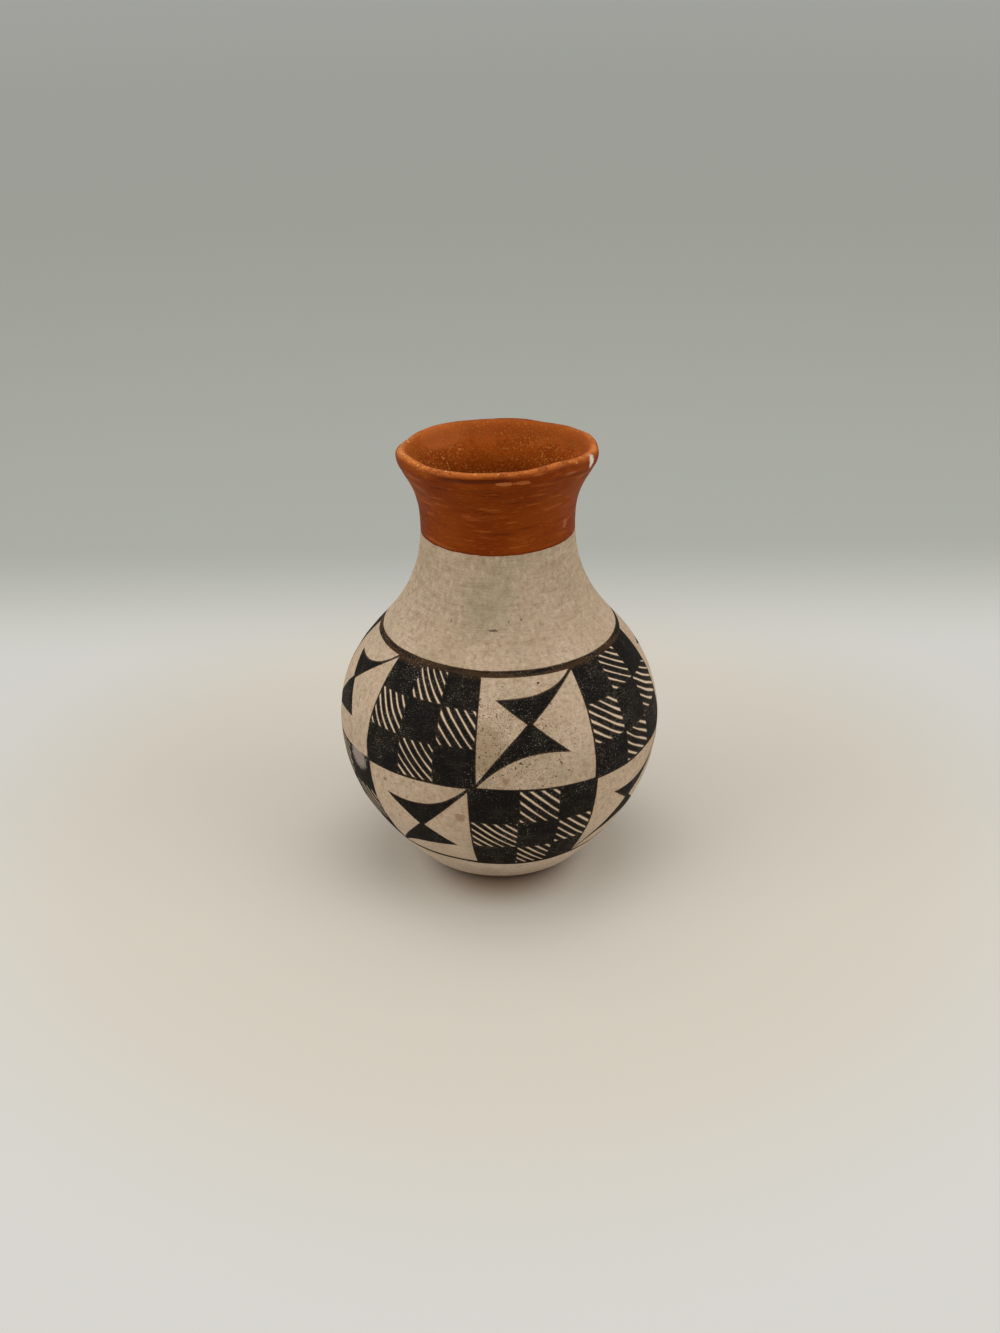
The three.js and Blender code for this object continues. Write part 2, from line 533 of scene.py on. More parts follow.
@dataclass
class Course:
    """One course of clay as a closed turned mesh.

    NORMAL_STEP, ON_AXIS, NEAREST_TURN and NEAREST_RING are in millimetres. OUTER_WEIGHT is how much
    more of the baking map a stretch of the outside gets, and MAP_MARGIN is a share of the map.

    Attributes:
        name: The CAD node that it stands for.
        slot: The record's slot of its finish.
        stretches: Its outline, closed on itself, or from the axis back to the axis.
        hand: What bends it.
        columns: How many columns of faces go round.
        arcs: How many arcs its baking map is cut into.
    """

    name: str
    slot: Slot
    stretches: list[Stretch]
    hand: Hand
    columns: int = 192
    arcs: int = 4

    NORMAL_STEP = 0.02
    ON_AXIS = 1e-6
    NEAREST_TURN = 1
    NEAREST_RING = 0.5
    OUTER_WEIGHT = 2.0
    MAP_MARGIN = 0.02

    def build(self) -> bpy.types.Object:
        """Makes the mesh with its normals, its places on the wall and its baking map.

        Returns:
            The object that holds it.
        """
        clay = Clay()
        weights = [
            stretch.length() * (self.OUTER_WEIGHT if stretch.side is Side.OUTER else 1)
            for stretch in self.stretches
        ]
        tops = np.cumsum(weights) / sum(weights)
        bottoms = np.concatenate([[0], tops[:-1]])
        angles = np.arange(self.columns + 1) / self.columns * math.tau - math.pi
        for stretch, bottom, top in zip(self.stretches, bottoms, tops):
            (radii, heights), (out, up) = stretch.rings()
            grid = self.hand.shape(radii[:, None], heights[:, None], angles[None, :])
            self.add_rings(clay, stretch, grid, radii < self.ON_AXIS)
            slopes = self.normals(radii, heights, out, up, angles)
            self.add_faces(clay, stretch, slopes, bottom, top)
        return self.finish(clay)

    def add_rings(
        self, clay: Clay, stretch: Stretch, grid: np.ndarray, on_axis: np.ndarray
    ) -> None:
        """Adds a stretch's rings, apart from one that the stretches before it have made.

        Args:
            clay: The mesh.
            stretch: The stretch.
            grid: The position of each ring's point in each column.
            on_axis: Whether each ring lies on the axis.
        """
        at = np.linspace(stretch.start, stretch.end, stretch.steps + 1)
        closes = stretch is self.stretches[-1]
        for row in range(1 if clay.rings else 0, stretch.steps + 1):
            if closes and row == stretch.steps and not on_axis[row]:
                clay.rings.append(clay.rings[0])
                continue
            clay.rings.append(Ring(len(clay.points), bool(on_axis[row])))
            ring = grid[row, :1] if on_axis[row] else grid[row, :-1]
            clay.points.extend(map(tuple, ring))
            clay.places.extend([at[row]] * len(ring))

    def add_faces(
        self, clay: Clay, stretch: Stretch, slopes: np.ndarray, bottom: float, top: float
    ) -> None:
        """Adds the faces between a stretch's rings, which are the last ones of the mesh.

        Args:
            clay: The mesh.
            stretch: The stretch.
            slopes: A normal for each ring and column.
            bottom: Where the stretch's part of the baking map starts.
            top: Where it ends.
        """
        rings = clay.rings[-stretch.steps - 1 :]
        for row, (low, high) in enumerate(zip(rings, rings[1:])):
            for column in range(self.columns):
                corners = self.corners(low, high, row, column)
                clay.faces.append([vertex for vertex, _, _ in corners])
                clay.normals.extend(slopes[r, c] for _, r, c in corners)
                clay.maps.extend(
                    self.map_point(column, c - column, r / stretch.steps, bottom, top)
                    for _, r, c in corners
                )
                clay.sides.append(stretch.side.value)

    def normals(
        self,
        radii: np.ndarray,
        heights: np.ndarray,
        out: np.ndarray,
        up: np.ndarray,
        angles: np.ndarray,
    ) -> np.ndarray:
        """Works out the bent surface's normals from the form itself, so that no seam shows.

        Args:
            radii: Radii of the rings.
            heights: Their heights.
            out: How the outline runs outwards at each ring.
            up: How it runs upwards.
            angles: The columns' angles in radians.

        Returns:
            A normal for each ring and column.
        """
        step = self.NORMAL_STEP
        radii, heights, out, up = (x[:, None] for x in (radii, heights, out, up))
        angles = angles[None, :]
        turn = step / np.maximum(radii, self.NEAREST_TURN)
        bent = self.hand.shape
        along = bent(radii + out * step, heights + up * step, angles)
        along = along - bent(radii - out * step, heights - up * step, angles)
        clear = np.maximum(radii, self.NEAREST_RING)
        around = bent(clear, heights, angles + turn) - bent(clear, heights, angles - turn)
        normal = np.cross(around, along)
        return normal / np.linalg.norm(normal, axis=-1, keepdims=True)

    def corners(self, low: Ring, high: Ring, row: int, column: int) -> list[tuple[int, int, int]]:
        """Lists a face's corners.

        Args:
            low: The face's lower ring.
            high: Its upper ring.
            row: Its row in its stretch.
            column: Its column.

        Returns:
            For each corner its vertex, its ring and its column.
        """
        following = (column + 1) % self.columns
        corners = []
        if low.on_axis:
            corners.append((low.first, row, column))
        else:
            corners.append((low.first + column, row, column))
            corners.append((low.first + following, row, column + 1))
        if high.on_axis:
            corners.append((high.first, row + 1, column))
        else:
            corners.append((high.first + following, row + 1, column + 1))
            corners.append((high.first + column, row + 1, column))
        return corners

    def map_point(
        self, column: int, ahead: int, share: float, bottom: float, top: float
    ) -> tuple[float, float]:
        """Places a corner in the baking map: each stretch is cut into arcs that lie in rows.

        Args:
            column: The face's column.
            ahead: 1 for a corner on the column's far side, else 0.
            share: How far along its stretch the corner is.
            bottom: Where the stretch's part of the map starts.
            top: Where it ends.

        Returns:
            The corner's place in the map.
        """
        wide = self.columns // self.arcs
        arc, within = divmod(column, wide)
        margin = self.MAP_MARGIN
        across = margin + (1 - 2 * margin) * (within + ahead) / wide
        row_margin = margin * 2
        upwards = row_margin + (1 - 2 * row_margin) * share
        return across, bottom + (top - bottom) * (arc + upwards) / self.arcs

    def finish(self, clay: Clay) -> bpy.types.Object:
        """Puts a worked-out mesh into the scene.

        Args:
            clay: The mesh.

        Returns:
            The object, on its body and in place of its CAD node.
        """
        mesh = bpy.data.meshes.new(self.name + "_clay")
        mesh.from_pydata(clay.points, [], clay.faces)
        attribute = mesh.attributes.new(PLACE_ATTRIBUTE, "FLOAT", "POINT")
        attribute.data.foreach_set("value", np.array(clay.places, np.float32))
        layer = mesh.uv_layers.new(name=BAKE_MAP)
        layer.uv.foreach_set("vector", np.array(clay.maps, np.float32).ravel())
        mesh.polygons.foreach_set("material_index", np.array(clay.sides, np.int32))
        mesh.polygons.foreach_set("use_smooth", np.ones(len(clay.sides), bool))
        mesh.update()
        mesh.normals_split_custom_set([tuple(normal) for normal in clay.normals])
        piece = bpy.data.objects.new(self.name + "_clay", mesh)
        bpy.context.scene.collection.objects.link(piece)
        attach(piece, BODY)
        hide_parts(self.name)
        return piece


@dataclass
class Pot:
    """The pot: its base, its coils and its rolled rim, with its sizes in millimetres.

    Attributes:
        wall: The wall that the courses make up.
        hand: What bends them.
        row_height: About how tall a row of faces is.
        edge_place: The place that the edge of the rest face is marked with.
        belly_arcs: How many arcs the baking maps of the belly's courses are cut into.
        neck_arcs: The same for the others.
        courses: The courses, from the base up.
    """

    wall: Wall
    hand: Hand
    base_rise: float = 11
    bowl_coils: int = 3
    shoulder_coils: int = 2
    neck_coils: int = 3
    rim_coil_length: float = 12
    slip_line_below_throat: float = 0.9
    row_height: float = 1.0
    joint_rows: int = 4
    roll_rows: int = 14
    rim_columns: int = 384
    underside_rows: int = 8
    edge_rows: int = 5
    dish_rows: int = 10
    floor_rows: int = 8
    edge_place: float = -3
    belly_arcs: int = 4
    neck_arcs: int = 3
    courses: list[Course] = field(default_factory=list)

    def rows(self, length: float) -> int:
        """Counts the rows of faces for a length of wall in millimetres."""
        return max(2, round(length / self.row_height))

    def coil(self, name: str, start: float, end: float, slot: Slot, arcs: int) -> None:
        """Adds a coil between two joints.

        Args:
            name: Its CAD node.
            start: The place of the joint under it.
            end: The place of the joint over it.
            slot: The slot of its finish.
            arcs: How many arcs its baking map is cut into.
        """
        wall = self.wall
        low, high = start - wall.sizes.joint_lap, end - wall.sizes.joint_lap
        far_low, far_high = wall.place_inside(low), wall.place_inside(high)
        rows = self.rows(end - start)
        stretches = [
            Stretch(Side.OUTER, wall.outside_curve(start, end), rows, start, end),
            Stretch(Side.INNER, wall.joint(end, True), self.joint_rows, far_high, far_high),
            Stretch(Side.INNER, wall.inside_curve(high, low), rows, far_high, far_low),
            Stretch(Side.INNER, wall.joint(start, False), self.joint_rows, far_low, far_low),
        ]
        self.courses.append(Course(name, slot, stretches, self.hand, arcs=arcs))

    def base(self, end: float) -> None:
        """Adds the base, with its flat underside, turned-up edge and dished floor.

        Args:
            end: The place of the joint over it.
        """
        wall, s = self.wall, self.wall.sizes
        inner = np.array(wall.inside(end - s.joint_lap))
        rest = (s.foot_rest_radius, 0)
        turn = ((s.foot_rest_radius + s.foot_edge_radius) / 2, 0)
        edge = (s.foot_edge_radius, s.foot_edge_height)
        floor = (s.floor_radius, s.floor_thickness)
        dish = ((s.floor_radius + inner[0]) / 2, s.floor_thickness)
        top, bottom = wall.place_inside(end - s.joint_lap), wall.place_inside(0)
        edge_at, middle = self.edge_place, bottom + s.floor_radius
        under = edge_at - s.foot_rest_radius
        stretches = [
            Stretch(Side.OUTER, bend((0, 0), rest), self.underside_rows, under, edge_at),
            Stretch(Side.OUTER, bend(rest, turn, edge), self.edge_rows, edge_at, 0),
            Stretch(Side.OUTER, wall.outside_curve(0, end), self.rows(end), 0, end),
            Stretch(Side.INNER, wall.joint(end, True), self.joint_rows, top, top),
            Stretch(Side.INNER, bend(inner, dish, floor), self.dish_rows, top, bottom),
            Stretch(
                Side.INNER, bend(floor, (0, s.floor_thickness)), self.floor_rows, bottom, middle
            ),
        ]
        base = Course("base_pancake", Slot.CREAM, stretches, self.hand, arcs=self.neck_arcs)
        self.courses.append(base)

    def rim(self, start: float) -> None:
        """Adds the last coil, flared, its end rolled outwards over a round crown.

        Args:
            start: The place of the joint under it.
        """
        wall, s = self.wall, self.wall.sizes
        end, low = wall.lip_at, start - s.joint_lap
        outer = wall.lip
        inner = np.array(wall.inside(end))
        roll = (s.lip_radius + s.roll_overhang, s.height - s.roll_below_crown)
        crown = (s.lip_radius - s.crown_inset, s.height)
        turn = (roll[0], (outer[1] + roll[1]) / 2)
        back = inner + leaning(s.lip_lean) * s.crown_reach
        over = bend(crown, (crown[0] - s.crown_reach, crown[1]), back, inner)
        rows = 2 * self.rows(end - start)
        half, top = end + wall.CROWN_PAST_LIP / 2, end + wall.CROWN_PAST_LIP
        far_top, far_low = wall.place_inside(end), wall.place_inside(low)
        stretches = [
            Stretch(Side.OUTER, wall.outside_curve(start, end), rows, start, end),
            Stretch(Side.OUTER, bend(outer, turn, roll), self.roll_rows, end, half),
            Stretch(Side.OUTER, bend(roll, (roll[0], crown[1]), crown), self.roll_rows, half, top),
            Stretch(Side.OUTER, over, self.roll_rows, top, far_top),
            Stretch(Side.INNER, wall.inside_curve(end, low), rows, far_top, far_low),
            Stretch(Side.INNER, wall.joint(start, False), self.joint_rows, far_low, far_low),
        ]
        rim = Course(
            "rim_coil", Slot.ORANGE, stretches, self.hand, self.rim_columns, self.neck_arcs
        )
        self.courses.append(rim)

    def slip_line(self) -> float:
        """Finds the place where the cream slip meets the orange one."""
        sizes = self.wall.sizes
        return self.wall.at_height(sizes.height * sizes.throat_share - self.slip_line_below_throat)

    def build(self) -> dict[str, bpy.types.Object]:
        """Makes every course.

        Returns:
            Each course's object by the name of its CAD node.
        """
        wall = self.wall
        base_top = wall.at_height(self.base_rise)
        slip_line = self.slip_line()
        rim_joint = wall.lip_at - self.rim_coil_length
        self.base(base_top)
        belly, shoulder = wall.belly_at, wall.shoulder_at
        runs = [
            ("bowl_coil", self.bowl_coils, base_top, belly, self.belly_arcs),
            ("shoulder_coil", self.shoulder_coils, belly, shoulder, self.belly_arcs),
            ("neck_coil", self.neck_coils, shoulder, slip_line, self.neck_arcs),
        ]
        for name, count, start, end, arcs in runs:
            joints = np.linspace(start, end, count + 1)
            for i in range(count):
                self.coil(f"{name}_{i + 1}", joints[i], joints[i + 1], Slot.CREAM, arcs)
        self.coil("throat_coil", slip_line, rim_joint, Slot.ORANGE, self.neck_arcs)
        self.rim(rim_joint)
        made = {}
        for course in self.courses:
            made[course.name] = course.build()
            log.info("built %s", course.name)
        return made

    def dress(
        self, pieces: dict[str, bpy.types.Object], finishes: dict[Slot, bpy.types.Material]
    ) -> None:
        """Gives each course its own finish outside, and inside the orange one, as the mouth has.

        Args:
            pieces: The courses' objects by the names of their CAD nodes.
            finishes: The finishes by slot.
        """
        for course in self.courses:
            materials = pieces[course.name].data.materials
            materials.append(finishes[course.slot])
            materials.append(finishes[Slot.ORANGE])
            log.info("dressed %s", course.name)


# The node kit that the finishes are written with


@dataclass(frozen=True)
class Ramp:
    """A share that comes in over a range of a number.

    Attributes:
        low: The number where the share is 0.
        high: The number where it is full.
        full: What it is then.
    """

    low: float
    high: float
    full: float = 1.0


@dataclass(frozen=True)
class Noise:
    """Soft noise in space.

    Attributes:
        scale: How fine it is, in features per metre.
        detail: How many finer layers it has.
        rough: How strong those are.
    """

    scale: float
    detail: float = 2
    rough: float = 0.5


class Blend(Enum):
    """What a mix node mixes, and by number the two inputs and the output that it has for that."""

    COLOURS = ("RGBA", 6, 7, 2)
    VECTORS = ("VECTOR", 4, 5, 1)


class Num:
    """What comes out of a node socket, so that a formula of nodes reads as one."""

    def __init__(self, graph: "Graph", socket: bpy.types.NodeSocket) -> None:
        """Wraps a socket of a graph."""
        self.graph = graph
        self.socket = socket

    def __add__(self, other: "Value") -> "Num":
        """Adds."""
        return self.graph.math("ADD", self, other)

    def __sub__(self, other: "Value") -> "Num":
        """Subtracts."""
        return self.graph.math("SUBTRACT", self, other)

    def __rsub__(self, other: float) -> "Num":
        """Subtracts from a number."""
        return self.graph.math("SUBTRACT", other, self)

    def __mul__(self, other: "Value") -> "Num":
        """Multiplies."""
        return self.graph.math("MULTIPLY", self, other)

    def __truediv__(self, other: "Value") -> "Num":
        """Divides."""
        return self.graph.math("DIVIDE", self, other)

    def __abs__(self) -> "Num":
        """Drops the sign."""
        return self.graph.math("ABSOLUTE", self)

    __radd__ = __add__
    __rmul__ = __mul__


Value = Num | float | Sequence[float]


class Graph:
    """Writes nodes into one tree."""

    def __init__(self, tree: bpy.types.NodeTree) -> None:
        """Takes the tree to write into."""
        self.tree = tree

    def add(self, kind: str, **settings: object) -> bpy.types.Node:
        """Adds a node.

        Args:
            kind: Its type.
            settings: Its settings.

        Returns:
            The node.
        """
        node = self.tree.nodes.new(kind)
        for name, value in settings.items():
            setattr(node, name, value)
        return node

    def feed(self, socket: bpy.types.NodeSocket, value: Value) -> None:
        """Feeds a socket from another one, or sets it.

        Args:
            socket: The socket.
            value: What it takes.
        """
        if isinstance(value, Num):
            self.tree.links.new(value.socket, socket)
        else:
            socket.default_value = value

    def math(self, operation: str, *values: Value) -> Num:
        """Works a sum on numbers.

        Args:
            operation: The sum.
            values: What it takes.

        Returns:
            The result.
        """
        node = self.add("ShaderNodeMath", operation=operation)
        for socket, value in zip(node.inputs, values):
            self.feed(socket, value)
        return Num(self, node.outputs[0])

    def vector(self, operation: str, *values: Value) -> Num:
        """Works a sum on vectors.

        Args:
            operation: The sum.
            values: What it takes.

        Returns:
            The result, a vector or its length.
        """
        node = self.add("ShaderNodeVectorMath", operation=operation)
        for socket, value in zip(node.inputs, values):
            self.feed(socket, value)
        return Num(self, node.outputs["Value" if operation in ("LENGTH", "DISTANCE") else "Vector"])

    def least(self, *values: Value) -> Num:
        """Finds the smallest of several numbers."""
        return reduce(lambda one, other: self.math("MINIMUM", one, other), values)

    def most(self, *values: Value) -> Num:
        """Finds the largest of several numbers."""
        return reduce(lambda one, other: self.math("MAXIMUM", one, other), values)

    def ease(self, value: Value, low: float, high: float, smooth: bool = True) -> Num:
        """Turns a range of a number into a share.

        Args:
            value: The number.
            low: Where the share is 0.
            high: Where it is 1.
            smooth: Whether the share leaves its ends softly.

        Returns:
            The share.
        """
        kind = "SMOOTHSTEP" if smooth else "LINEAR"
        node = self.add("ShaderNodeMapRange", interpolation_type=kind)
        self.feed(node.inputs["Value"], value)
        self.feed(node.inputs["From Min"], low)
        self.feed(node.inputs["From Max"], high)
        return Num(self, node.outputs["Result"])

    def ramp(self, value: Value, ramp: Ramp) -> Num:
        """Turns a number into a share by a ramp."""
        return self.ease(value, ramp.low, ramp.high) * ramp.full

    def noise(self, position: Value, noise: Noise) -> Num:
        """Adds noise.

        Args:
            position: Where to read it.
            noise: The noise.

        Returns:
            How strong it is there, around a half.
        """
        node = self.add("ShaderNodeTexNoise")
        self.feed(node.inputs["Vector"], position)
        self.feed(node.inputs["Scale"], noise.scale)
        self.feed(node.inputs["Detail"], noise.detail)
        self.feed(node.inputs["Roughness"], noise.rough)
        return Num(self, node.outputs[0])

    def stray(self, position: Value, noise: Noise) -> Num:
        """Adds noise around zero."""
        return self.noise(position, noise) - 0.5

    def mix(self, share: Value, first: Value, second: Value, blend: Blend = Blend.COLOURS) -> Num:
        """Mixes two colours or two vectors.

        Args:
            share: How much of the second shows.
            first: The first one.
            second: The second one.
            blend: Which of the two kinds they are.

        Returns:
            What they mix into.
        """
        kind, at, to, out = blend.value
        node = self.add("ShaderNodeMix", data_type=kind)
        self.feed(node.inputs[0], share)
        self.feed(node.inputs[at], first)
        self.feed(node.inputs[to], second)
        return Num(self, node.outputs[out])

    def split(self, vector: Num) -> tuple[Num, Num, Num]:
        """Splits a vector.

        Args:
            vector: The vector.

        Returns:
            Its three numbers.
        """
        node = self.add("ShaderNodeSeparateXYZ")
        self.feed(node.inputs[0], vector)
        x, y, z = (Num(self, socket) for socket in node.outputs)
        return x, y, z

    def join(self, x: Value, y: Value, z: Value) -> Num:
        """Makes a vector.

        Args:
            x: Its first number.
            y: Its second one.
            z: Its third one.

        Returns:
            The vector.
        """
        node = self.add("ShaderNodeCombineXYZ")
        for socket, value in zip(node.inputs, (x, y, z)):
            self.feed(socket, value)
        return Num(self, node.outputs[0])

    def use(self, effect: "Effect", **given: Value) -> dict[str, Num]:
        """Uses a shared effect.

        Args:
            effect: The effect.
            given: What it takes, by the names of its inputs.

        Returns:
            What it gives, by name.
        """
        node = self.add("ShaderNodeGroup", node_tree=group_tree(effect))
        for name, value in given.items():
            self.feed(node.inputs[name], value)
        return {socket.name: Num(self, socket) for socket in node.outputs}


class Kind(Enum):
    """The kinds of socket that a shared effect has."""

    NUMBER = "NodeSocketFloat"
    VECTOR = "NodeSocketVector"


def numbers(*names: str) -> dict[str, Kind]:
    """Lists sockets that hold a number."""
    return dict.fromkeys(names, Kind.NUMBER)


def vectors(*names: str) -> dict[str, Kind]:
    """Lists sockets that hold a vector."""
    return dict.fromkeys(names, Kind.VECTOR)


@dataclass(frozen=True)
class Effect:
    """A shader node group that finishes share, with the kinds of its inputs and outputs by name."""

    TAKES: ClassVar[dict[str, Kind]] = {}
    GIVES: ClassVar[dict[str, Kind]] = {}

    def draw(self, g: Graph, given: dict[str, Num]) -> dict[str, Num]:
        """Writes the group's nodes.

        Args:
            g: The graph to write in.
            given: The inputs by name.

        Returns:
            The outputs by name.
        """
        raise NotImplementedError


@cache
def group_tree(effect: Effect) -> bpy.types.NodeTree:
    """Makes a shared effect's node group once.

    Args:
        effect: The effect.

    Returns:
        Its node group.
    """
    tree = bpy.data.node_groups.new(type(effect).__name__, "ShaderNodeTree")
    for name, kind in effect.TAKES.items():
        tree.interface.new_socket(name, in_out="INPUT", socket_type=kind.value)
    for name, kind in effect.GIVES.items():
        tree.interface.new_socket(name, in_out="OUTPUT", socket_type=kind.value)
    g = Graph(tree)
    start = g.add("NodeGroupInput")
    end = g.add("NodeGroupOutput")
    given = {name: Num(g, start.outputs[name]) for name in effect.TAKES}
    for name, value in effect.draw(g, given).items():
        g.feed(end.inputs[name], value)
    return tree


def linear(level: float) -> float:
    """Turns the level of one colour as it looks, from 0 to 1, into the light that it reflects."""
    bent = ((level + SRGB_LIFT) / (1 + SRGB_LIFT)) ** SRGB_POWER
    return level / SRGB_TOE_SLOPE if level <= SRGB_TOE else bent


def colour(code: str) -> tuple[float, float, float, float]:
    """Turns a colour of six hexadecimal digits into linear light, with its alpha."""
    red, green, blue = (linear(int(code[i : i + 2], 16) / 255) for i in (0, 2, 4))
    return red, green, blue, 1.0


# The painted band


@dataclass(frozen=True)
class PaintedLine:
    """A line painted round the vase.

    Attributes:
        place: Its middle's place on the wall.
        width: Its width in millimetres.
        waves: How the hand strayed along it.
    """

    place: float
    width: float
    waves: tuple[Wave, ...]

    def middle(self, g: Graph, angle: Num) -> Num:
        """Writes the line's middle.

        Args:
            g: The graph to write in.
            angle: The angle on the wall.

        Returns:
            The place of the middle there.
        """
        place = g.math("ADD", self.place, 0)
        for wave in self.waves:
            turn = (angle - wave.peak) * math.radians(wave.around)
            place = place + g.math("COSINE", turn) * wave.height
        return place


@dataclass(frozen=True)
class PanelPlan(Effect):
    """Says where a point of the wall lies in the painted band's two tiers of panels.

    Attributes:
        top: The thick line over the band.
        middle: The line between its tiers.
        low: The thin line under it.
        upper_sides: The angles of the upper tier's panel sides, from the first round to it again.
        lower_sides: The same for the lower tier.
        tremble: How far the hand trembled, in millimetres.
        tremble_noise: What makes it tremble.
        tremble_across: How far off the sideways tremble is read, so that it differs.
        side_width: The width of the strokes between the panels, in millimetres.
    """

    top: PaintedLine
    middle: PaintedLine
    low: PaintedLine
    upper_sides: tuple[float, ...]
    lower_sides: tuple[float, ...]
    tremble: float = 0.55
    tremble_noise: Noise = Noise(55, 1)
    tremble_across: Triple = (1, 2, 3)
    side_width: float = 0.6

    TAKES = vectors("Position") | numbers("Angle", "Place", "Radius")
    GIVES = numbers("Across", "Up", "Panel", "Inside band", "Line ink")

    def phase(self, g: Graph, angle: Num, sides: tuple[float, ...]) -> Num:
        """Counts the panels round to an angle, with the share of the one that it is in.

        Args:
            g: The graph to write in.
            angle: The angle on the wall.
            sides: The angles of the panels' sides.

        Returns:
            The count.
        """
        wrapped = g.math("WRAP", angle, sides[-1], sides[0])
        steps = [g.ease(wrapped, a, b, smooth=False) for a, b in zip(sides, sides[1:])]
        return sum(steps[1:], steps[0])

    def draw(self, g: Graph, given: dict[str, Num]) -> dict[str, Num]:
        """Writes the group's nodes.

        Args:
            g: The graph to write in.
            given: The inputs by name.

        Returns:
            The outputs by name.
        """
        position, angle, radius = given["Position"], given["Angle"], given["Radius"]
        stray_up = g.stray(position, self.tremble_noise)
        shifted = g.vector("ADD", position, self.tremble_across)
        stray_across = g.stray(shifted, self.tremble_noise)
        place = given["Place"] + stray_up * self.tremble
        degrees = angle + stray_across * (self.tremble * math.degrees(1)) / radius
        top, middle, low = (line.middle(g, angle) for line in (self.top, self.middle, self.low))
        tier = g.math("GREATER_THAN", place, middle)
        in_upper = (place - middle) / (top - middle)
        in_lower = (place - low) / (middle - low)
        up = in_lower + (in_upper - in_lower) * tier
        upper = self.phase(g, degrees, self.upper_sides)
        lower = self.phase(g, degrees, self.lower_sides)
        phase = lower + (upper - lower) * tier
        panel = g.math("FLOOR", phase)
        across = phase - panel
        lines = [
            line.width / 2 - abs(place - at)
            for line, at in ((self.top, top), (self.middle, middle), (self.low, low))
        ]
        panels = len(self.upper_sides) - 1
        side_gap = g.least(across, 1 - across) * radius * (math.tau / panels)
        inside = g.least(place - low, top - place)
        side_ink = g.least(self.side_width / 2 - side_gap, inside)
        return {
            "Across": across,
            "Up": up,
            "Panel": panel + tier * UPPER_TIER,
            "Inside band": inside,
            "Line ink": g.most(*lines, side_ink),
        }


@dataclass(frozen=True)
class Fin(Effect):
    """One half of the hourglass figure, from its tip over its waist to the panel's corner.

    Attributes:
        power: How late its curved top rises to the corner.
        tail: How thick the stroke is that runs on to the corner, as a share of the panel.
        neck: Half the width of its waist, as a share of the panel.
        corner: How high up the panel's side that stroke ends.
    """

    power: float = 3
    tail: float = 0.026
    neck: float = 0.026
    corner: float = 0.962

    TAKES = numbers("Across", "Up") | vectors("Tip", "Waist")
    GIVES = numbers("Ink")

    def draw(self, g: Graph, given: dict[str, Num]) -> dict[str, Num]:
        """Writes the group's nodes: ink between the fin's curved top and its sides, and a tail.

        Args:
            g: The graph to write in.
            given: The inputs by name.

        Returns:
            The outputs by name.
        """
        across, up = given["Across"], given["Up"]
        tip_across, tip_up, sag = g.split(given["Tip"])
        waist_across, waist_up, bulge = g.split(given["Waist"])
        along = g.math("MAXIMUM", (across - tip_across) / (1 - tip_across), 0)
        swing = g.math("POWER", along, self.power)
        top = tip_up + (1 - tip_up) * swing - sag * along * (1 - along)
        right, left = waist_across + self.neck, waist_across - self.neck
        past = (across - right) / (1 - right)
        side = waist_up + (self.corner - waist_up) * (past + bulge * past * (1 - past))
        short = (left - across) / (left - tip_across)
        near = waist_up + (tip_up - waist_up) * short
        over_side = up - side
        stroke = g.least(over_side, self.tail - over_side, past)
        return {"Ink": g.most(g.least(top - up, over_side, up - near), stroke)}


@dataclass(frozen=True)
class Hourglass(Effect):
    """The hourglass figure that fills every other panel.

    Attributes:
        fin: Its half.
        panel_size: About how wide a panel is, in millimetres.
    """

    fin: Fin
    panel_size: float = 27

    TAKES = numbers("Across", "Up") | vectors("Left tip", "Right tip", "Waist")
    GIVES = numbers("Ink")

    def draw(self, g: Graph, given: dict[str, Num]) -> dict[str, Num]:
        """Writes the group's nodes: the lower fin is the upper one turned half round.

        Args:
            g: The graph to write in.
            given: The inputs by name.

        Returns:
            The outputs by name.
        """
        across, up, waist = given["Across"], given["Up"], given["Waist"]
        upper = g.use(self.fin, Across=across, Up=up, Tip=given["Left tip"], Waist=waist)
        lower = g.use(
            self.fin,
            Across=1 - across,
            Up=1 - up,
            Tip=self.turned(g, given["Right tip"], 1),
            Waist=self.turned(g, waist, -1),
        )
        return {"Ink": g.most(upper["Ink"], lower["Ink"]) * self.panel_size}

    def turned(self, g: Graph, point: Num, sign: int) -> Num:
        """Turns a point of the panel half round, and multiplies its third number by a sign."""
        across, up, third = g.split(point)
        return g.join(1 - across, 1 - up, third * sign)


